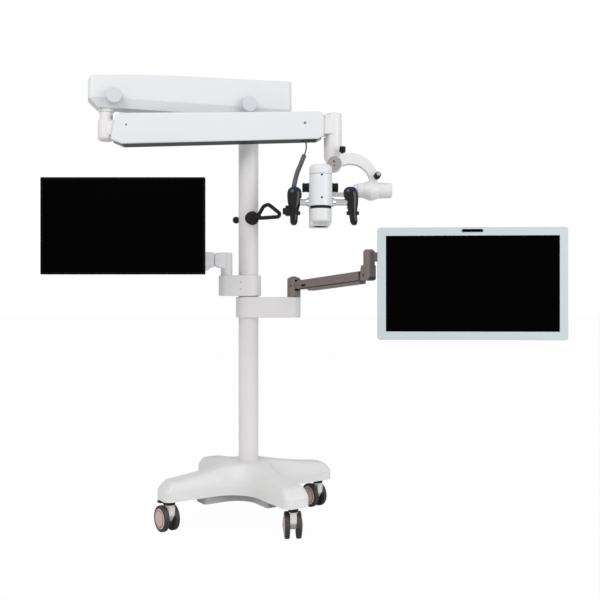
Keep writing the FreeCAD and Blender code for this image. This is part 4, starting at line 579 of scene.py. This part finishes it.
def joint_place(name):
    """Pivot and unit axis of a joint, in metres."""
    joint = JOINTS[name]
    axis = np.asarray(joint["axis"], float)
    return np.asarray(joint["pos_m"], float), axis / np.linalg.norm(axis)


def node_box(node):
    """Lower and upper corner of a CAD node's box, in metres."""
    low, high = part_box(node)
    return np.array(low), np.array(high)


# Operators

class MICROSCOPE_OT_finishes(bpy.types.Operator):
    """Gives every rigid piece its finish"""

    bl_idname = "microscope.finishes"
    bl_label = "Finish the rigid pieces"

    def execute(self, context):
        for node, made in NODES.items():
            for place in made.material_slots:
                place.material = finish(SLOT_OF[node])
        return {"FINISHED"}


class MICROSCOPE_OT_cable(bpy.types.Operator):
    """Makes the thin lead and the corrugated sleeve between the spring arm and the left handle"""

    bl_idname = "microscope.cable"
    bl_label = "Head cable"

    lead_route = ((0.2315, -0.0798, 1.513), (0.2315, -0.0798, 1.496), (0.233, -0.088, 1.473),
                  (0.225, -0.100, 1.450))
    sleeve_route = ((0.225, -0.100, 1.450), (0.210, -0.121, 1.408), (0.192, -0.150, 1.362),
                    (0.184, -0.187, 1.311))

    def spline(self, name, route, radius, sides):
        """A smooth curve whose control points are the route."""
        curve = bpy.data.curves.new(name, "CURVE")
        curve.dimensions = "3D"
        line = curve.splines.new("NURBS")
        line.points.add(len(route) - 1)
        for point, place in zip(line.points, route):
            point.co = (*place, 1.0)
        line.order_u = 3
        line.use_endpoint_u = True
        line.resolution_u = 24
        curve.bevel_depth = radius
        curve.bevel_resolution = sides
        curve.use_fill_caps = True
        made = bpy.data.objects.new(name, curve)
        bpy.context.scene.collection.objects.link(made)
        return made

    def length(self, line):
        steps = np.diff(line, axis=0)
        return float(np.linalg.norm(steps, axis=1).sum())

    def centre_line(self, route):
        """Points along the route's smooth curve."""
        guide = self.spline("guide", route, 0.0, 0)
        guide.data.use_fill_caps = False
        mesh = bpy.data.meshes.new_from_object(guide)
        line = np.empty(len(mesh.vertices) * 3)
        mesh.vertices.foreach_get("co", line)
        bpy.data.meshes.remove(mesh)
        bpy.data.objects.remove(guide)
        return line.reshape(-1, 3)

    def execute(self, context):
        sizes = context.scene.microscope_trims
        lead_line = self.centre_line(self.lead_route)
        lead = self.spline("head_lead", self.lead_route, sizes.lead, 6)
        lead.data.materials.append(finish("lead_grey"))
        sleeve_line = self.centre_line(self.sleeve_route)
        run = np.concatenate([[0], np.cumsum(np.linalg.norm(np.diff(sleeve_line, axis=0), axis=1))])
        steps = np.arange(0, run[-1], sizes.rib_pitch / 8)
        line = np.stack([np.interp(steps, run, sleeve_line[:, k]) for k in range(3)], 1)
        phase = 2 * np.pi * steps / sizes.rib_pitch
        ends = np.clip(np.minimum(steps, run[-1] - steps) / 0.004, 0.45, 1.0)
        radii = sizes.sleeve * ends * (0.94 + 0.06 * np.tanh(2.2 * np.cos(phase)))
        points, faces = swept(line, radii, 28)
        sleeve = piece("head_sleeve", points, faces, "front_joint", "cable_grey", "cable_grey", angle=70)
        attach(lead, "front_joint")
        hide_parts("head_cable")
        return {"FINISHED"}


class MICROSCOPE_OT_caster_trims(bpy.types.Operator):
    """Adds the caps of the caster wheels and the black rings over the forks"""

    bl_idname = "microscope.caster_trims"
    bl_label = "Caster trims"

    ring_r = 0.01875
    ring_low = 0.1059
    ring_tall = 0.0223

    def wheel_cap(self, corner, side):
        """A cap turned about the wheel's axle: a shallow dome h(r) = rise * (1 - (r / R) ** 2) with a
        ring groove near its rim and a small hub."""
        place, axis = joint_place(corner + "_wheel_roll")
        share = np.linspace(1, 0.01, 40)
        radii = CAP_R * share
        heights = WHEEL_FACE + 0.0003 + CAP_RISE * (1 - share ** 2)
        heights -= 0.0008 * np.exp(-((radii - 0.031) / 0.0012) ** 2)
        heights += 0.0005 * (1 - np.tanh((radii - 0.0095) / 0.0006))
        radii = np.concatenate([[CAP_R], radii])
        heights = np.concatenate([[WHEEL_FACE - 0.001], heights])
        return turned(place, axis * side, radii, heights, 56)

    def execute(self, context):
        for corner in CORNERS:
            body = BODY_OF[corner + "_wheels"]
            points, faces = joined([self.wheel_cap(corner, 1), self.wheel_cap(corner, -1)])
            piece(corner + "_wheel_caps", points, faces, body, "wheel_cap", "tyre_grey")
            swivel, _ = joint_place(corner + "_swivel_turn")
            share = np.linspace(0, 1, 16)
            radii = self.ring_r - 0.0010 * (2 * share - 1) ** 8 - 0.0027 * np.clip(share - 0.86, 0, 1) / 0.14
            ring = turned((swivel[0], swivel[1], self.ring_low), UP, radii, self.ring_tall * share, 56)
            piece(corner + "_fork_ring", *ring, BODY_OF[corner + "_fork"], "black_plastic", "fork_grey")
        return {"FINISHED"}


class MICROSCOPE_OT_arm_trims(bpy.types.Operator):
    """Adds the plugs over the covers' screws and the marks of the arm's pivots"""

    bl_idname = "microscope.arm_trims"
    bl_label = "Arm plugs and marks"

    plugs = (("arm_cover_upper", -0.554, 1.705), ("arm_cover_upper", -0.207, 1.735),
             ("arm_cover_lower", -0.255, 1.650), ("arm_cover_lower", -0.162, 1.647))
    marks = (("spring_arm_cover", -0.453, 1.550, 1.0), ("spring_arm_cover", 0.227, 1.570, 1.25))
    pins = (("pivot_cap", 0.338, 1.418), ("pivot_cap", 0.338, 1.402))

    def plug(self, node, x, z, radius):
        """A shallow turned button on a cover's front, square to the face it stands on."""
        place = ray_hit(node, (x, NEAR, z), AWAY)
        along = ray_hit(node, (x + 0.004, NEAR, z), AWAY) - place
        out = np.cross(UP, along)
        out /= np.linalg.norm(out)
        out = out if out[1] < 0 else -out
        radii = radius * np.array((1.0, 1.0, 0.93, 0.7, 0.35, 0.05))
        heights = radius * np.array((-0.1, 0.05, 0.12, 0.10, 0.06, 0.06))
        return turned(place, out, radii, heights, 24)

    def execute(self, context):
        radius = context.scene.microscope_trims.plug
        for number, (node, x, z) in enumerate(self.plugs):
            piece("cover_plug_%d" % number, *self.plug(node, x, z, radius * 0.62), BODY_OF[node],
                  "shell_white", "shell_white")
        for number, (node, x, z, size) in enumerate(self.marks):
            piece("pivot_mark_%d" % number, *self.plug(node, x, z, radius * size), BODY_OF[node],
                  "mark_grey", "cap_grey")
        for number, (node, x, z) in enumerate(self.pins):
            piece("pivot_pin_%d" % number, *self.plug(node, x, z, radius * 0.75), BODY_OF[node],
                  "black_plastic", "black_rubber")
        return {"FINISHED"}


class MICROSCOPE_OT_head_trims(bpy.types.Operator):
    """Adds the dark ring, the screws and the knob caps of the microscope head"""

    bl_idname = "microscope.head_trims"
    bl_label = "Head trims"

    band_low = 1.2272
    band_tall = 0.0106
    band_r = 0.0386
    seam_high = 1.3572
    screws_high = (1.351, 1.266)
    screw_across = 0.003
    socket_radii = (0.0040, 0.0040, 0.0034, 0.0016, 0.0014, 0.0001)
    socket_heights = (-0.003, 0.0001, 0.0006, 0.0006, -0.0008, -0.0008)

    def band(self):
        """A rubber band in the tube's groove: a ring whose section bulges by a half sine."""
        low, high = node_box("front_tube")
        centre = (low + high) / 2
        share = np.linspace(0, 1, 12)
        radii = self.band_r + 0.0010 * np.sin(np.pi * share) ** 0.5
        heights = self.band_low + self.band_tall * share
        return turned((centre[0], centre[1], 0.0), UP, radii, heights, 72)

    def knob_cap(self, node, joint):
        """Bright cap over a lock knob's end, standing a hair outside the knob's own end."""
        place, axis = joint_place(joint)
        corners = np.array([tuple(point.co) for point in NODES[node].data.vertices]) - place
        along = corners @ axis
        side = 1.0 if along.max() > -along.min() else -1.0
        top = (along * side).max()
        share = np.linspace(1, 0.02, 10)
        radii = np.concatenate([[0.0080, 0.0080, 0.0076], 0.0074 * share])
        heights = np.concatenate([[-0.0014, 0.0006, 0.0010], 0.0010 + 0.0006 * (1 - share ** 2)])
        return turned(place + axis * side * top, axis * side, radii, heights, 40)

    def screws(self):
        """Socket screws seen in the tube's two holes."""
        low, high = node_box("front_tube")
        x = (low[0] + high[0]) / 2 + self.screw_across
        return joined([turned((x, low[1] + 0.0002, z), -AWAY, self.socket_radii, self.socket_heights, 24)
                       for z in self.screws_high])

    def seam(self):
        """The joint between the tube and its cap: a thin ring standing just proud of the tube."""
        low, high = node_box("front_tube")
        centre = (low + high) / 2
        share = np.linspace(-1, 1, 7)
        front = centre[1] - ray_hit("front_tube", (centre[0], NEAR, self.seam_high), AWAY)[1]
        radii = front - 0.0001 + 0.0003 * (1 - share ** 2)
        return turned((centre[0], centre[1], 0.0), UP, radii, self.seam_high + 0.0010 * share, 72)

    def execute(self, context):
        piece("tube_band", *self.band(), "head", "black_rubber", "black_rubber")
        piece("tube_seam", *self.seam(), "head", "mark_grey", "cap_grey")
        piece("tube_screws", *self.screws(), "head", "black_plastic", "steel")
        piece("upper_knob_cap", *self.knob_cap("upper_lock_knob", "upper_lock_turn"), "upper_lock",
              "bright_bar", "steel")
        piece("lower_knob_cap", *self.knob_cap("lower_lock_knob", "lower_lock_turn"), "lower_lock",
              "bright_bar", "steel")
        return {"FINISHED"}


class MICROSCOPE_OT_display_trims(bpy.types.Operator):
    """Adds the sensor window and the touch marks of the right display"""

    bl_idname = "microscope.display_trims"
    bl_label = "Display trims"

    def front_point(self, across, high):
        """Point of the display's front, at a distance right of and above its middle."""
        pivot, right = joint_place("right_tilt")
        right = right * np.sign(right[0])
        inward = np.cross(UP, right)
        start = pivot + right * across + UP * high - inward
        return ray_hit("right_monitor", start, inward), right, inward

    def execute(self, context):
        low, high = node_box("right_monitor")
        pivot, _ = joint_place("right_tilt")
        front, right, inward = self.front_point(0.0, high[2] - 0.012 - pivot[2])
        window = prism(stadium(0.0368, 0.0050), right, UP, front - inward * 0.0006, 0.0010, inward)
        piece("sensor_window", *window, BODY_OF["right_monitor"], "screen_glass", "screen_glass", angle=25)
        parts = []
        for number in range(context.scene.microscope_trims.marks):
            at, right, inward = self.front_point(0.182 + 0.0138 * number, low[2] + 0.0075 - pivot[2])
            parts.append(prism(stadium(0.0017, 0.0009, 6), right, UP, at - inward * 0.0003, 0.0005, inward))
        if parts:
            piece("touch_marks", *joined(parts), BODY_OF["right_monitor"], "mark_grey", "bezel_black",
                  angle=25)
        return {"FINISHED"}


class MICROSCOPE_OT_stage(bpy.types.Operator):
    """Makes the floor, the lamps, the room light and the camera"""

    bl_idname = "microscope.stage"
    bl_label = "Stage"

    def floor(self):
        """A wide pale floor that the camera sees nearly white and that still takes shadows."""
        mesh = bpy.data.meshes.new("floor")
        reach = 40.0
        corners = [(-reach, -reach, 0), (reach, -reach, 0), (reach, reach, 0), (-reach, reach, 0)]
        mesh.from_pydata(corners, [], [(0, 1, 2, 3)])
        made = bpy.data.objects.new("floor", mesh)
        bpy.context.scene.collection.objects.link(made)
        material = bpy.data.materials.new("PaleFloor")
        material.use_nodes = True
        nodes, links = material.node_tree.nodes, material.node_tree.links
        shader = nodes["Principled BSDF"]
        shader.inputs["Base Color"].default_value = (0.90, 0.90, 0.90, 1)
        shader.inputs["Roughness"].default_value = 0.9
        shader.inputs["Specular IOR Level"].default_value = 0.0
        glow = nodes.new("ShaderNodeEmission")
        glow.inputs["Color"].default_value = (1, 1, 1, 1)
        glow.inputs["Strength"].default_value = 1.0
        path = nodes.new("ShaderNodeLightPath")
        share = nodes.new("ShaderNodeMath")
        share.operation = "MULTIPLY"
        share.inputs[1].default_value = 0.97
        links.new(path.outputs["Is Camera Ray"], share.inputs[0])
        mix = nodes.new("ShaderNodeMixShader")
        links.new(share.outputs[0], mix.inputs[0])
        links.new(shader.outputs[0], mix.inputs[1])
        links.new(glow.outputs[0], mix.inputs[2])
        links.new(mix.outputs[0], nodes["Material Output"].inputs["Surface"])
        mesh.materials.append(material)

    def room(self, strength):
        """White room light, weaker for the surfaces than it looks to the camera."""
        world = bpy.data.worlds.new("room")
        bpy.context.scene.world = world
        world.use_nodes = True
        nodes, links = world.node_tree.nodes, world.node_tree.links
        back = nodes["Background"]
        back.inputs["Color"].default_value = (1, 1, 1, 1)
        path = nodes.new("ShaderNodeLightPath")
        seen = nodes.new("ShaderNodeMath")
        seen.operation = "MAXIMUM"
        links.new(path.outputs["Is Camera Ray"], seen.inputs[0])
        links.new(path.outputs["Is Transmission Ray"], seen.inputs[1])
        level = nodes.new("ShaderNodeMapRange")
        level.inputs["To Min"].default_value = strength
        level.inputs["To Max"].default_value = 1.0
        links.new(seen.outputs[0], level.inputs["Value"])
        links.new(level.outputs[0], back.inputs["Strength"])

    def lamp(self, name, place, target, power, size, colour):
        light = bpy.data.lights.new(name, "AREA")
        light.energy = power
        light.shape = "RECTANGLE"
        light.size, light.size_y = size
        light.color = colour
        made = bpy.data.objects.new(name, light)
        bpy.context.scene.collection.objects.link(made)
        made.location = place
        made.rotation_euler = (Vector(target) - Vector(place)).to_track_quat("-Z", "Y").to_euler()

    def camera(self, lens):
        data = bpy.data.cameras.new("camera")
        data.sensor_width = 36.0
        data.lens = lens
        data.clip_end = 60.0
        made = bpy.data.objects.new("camera", data)
        bpy.context.scene.collection.objects.link(made)
        made.location = (0.2075, -3.184, 0.883)
        made.rotation_euler = (math.radians(90), 0, 0)
        bpy.context.scene.camera = made

    def execute(self, context):
        settings = context.scene.microscope_stage
        context.scene.view_settings.view_transform = "Standard"
        self.floor()
        self.room(settings.sky)
        self.lamp("key", (-1.4, -2.6, 3.2), (0.1, 0, 1.0), settings.key, (2.4, 1.8), (1.0, 0.985, 0.97))
        self.lamp("fill", (2.8, -2.2, 1.8), (0.2, 0, 1.0), settings.fill, (1.8, 1.8), (0.95, 0.98, 1.0))
        self.camera(settings.lens)
        return {"FINISHED"}


class MICROSCOPE_PT_panel(bpy.types.Panel):
    """Settings and steps of the microscope's finish"""

    bl_idname = "MICROSCOPE_PT_panel"
    bl_label = "Microscope"
    bl_space_type = "VIEW_3D"
    bl_region_type = "UI"
    bl_category = "Microscope"

    def draw(self, context):
        for group in (context.scene.microscope_colours, context.scene.microscope_trims,
                      context.scene.microscope_stage):
            box = self.layout.box()
            for name in group.__annotations__:
                box.prop(group, name)
        for step in STEPS:
            self.layout.operator(step.bl_idname)


STEPS = (MICROSCOPE_OT_finishes, MICROSCOPE_OT_cable, MICROSCOPE_OT_caster_trims, MICROSCOPE_OT_arm_trims,
         MICROSCOPE_OT_head_trims, MICROSCOPE_OT_display_trims, MICROSCOPE_OT_stage)
CLASSES = (FinishColours, TrimSizes, StageSettings) + STEPS + (MICROSCOPE_PT_panel,)


def register():
    for item in CLASSES:
        bpy.utils.register_class(item)
    bpy.types.Scene.microscope_colours = PointerProperty(type=FinishColours)
    bpy.types.Scene.microscope_trims = PointerProperty(type=TrimSizes)
    bpy.types.Scene.microscope_stage = PointerProperty(type=StageSettings)


def unregister():
    del bpy.types.Scene.microscope_stage
    del bpy.types.Scene.microscope_trims
    del bpy.types.Scene.microscope_colours
    for item in reversed(CLASSES):
        bpy.utils.unregister_class(item)


def main():
    """Registers the add-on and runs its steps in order."""
    register()
    for step in STEPS:
        section, name = step.bl_idname.split(".")
        getattr(getattr(bpy.ops, section), name)()
    bpy.context.view_layer.update()


if __name__ == "__main__":
    main()
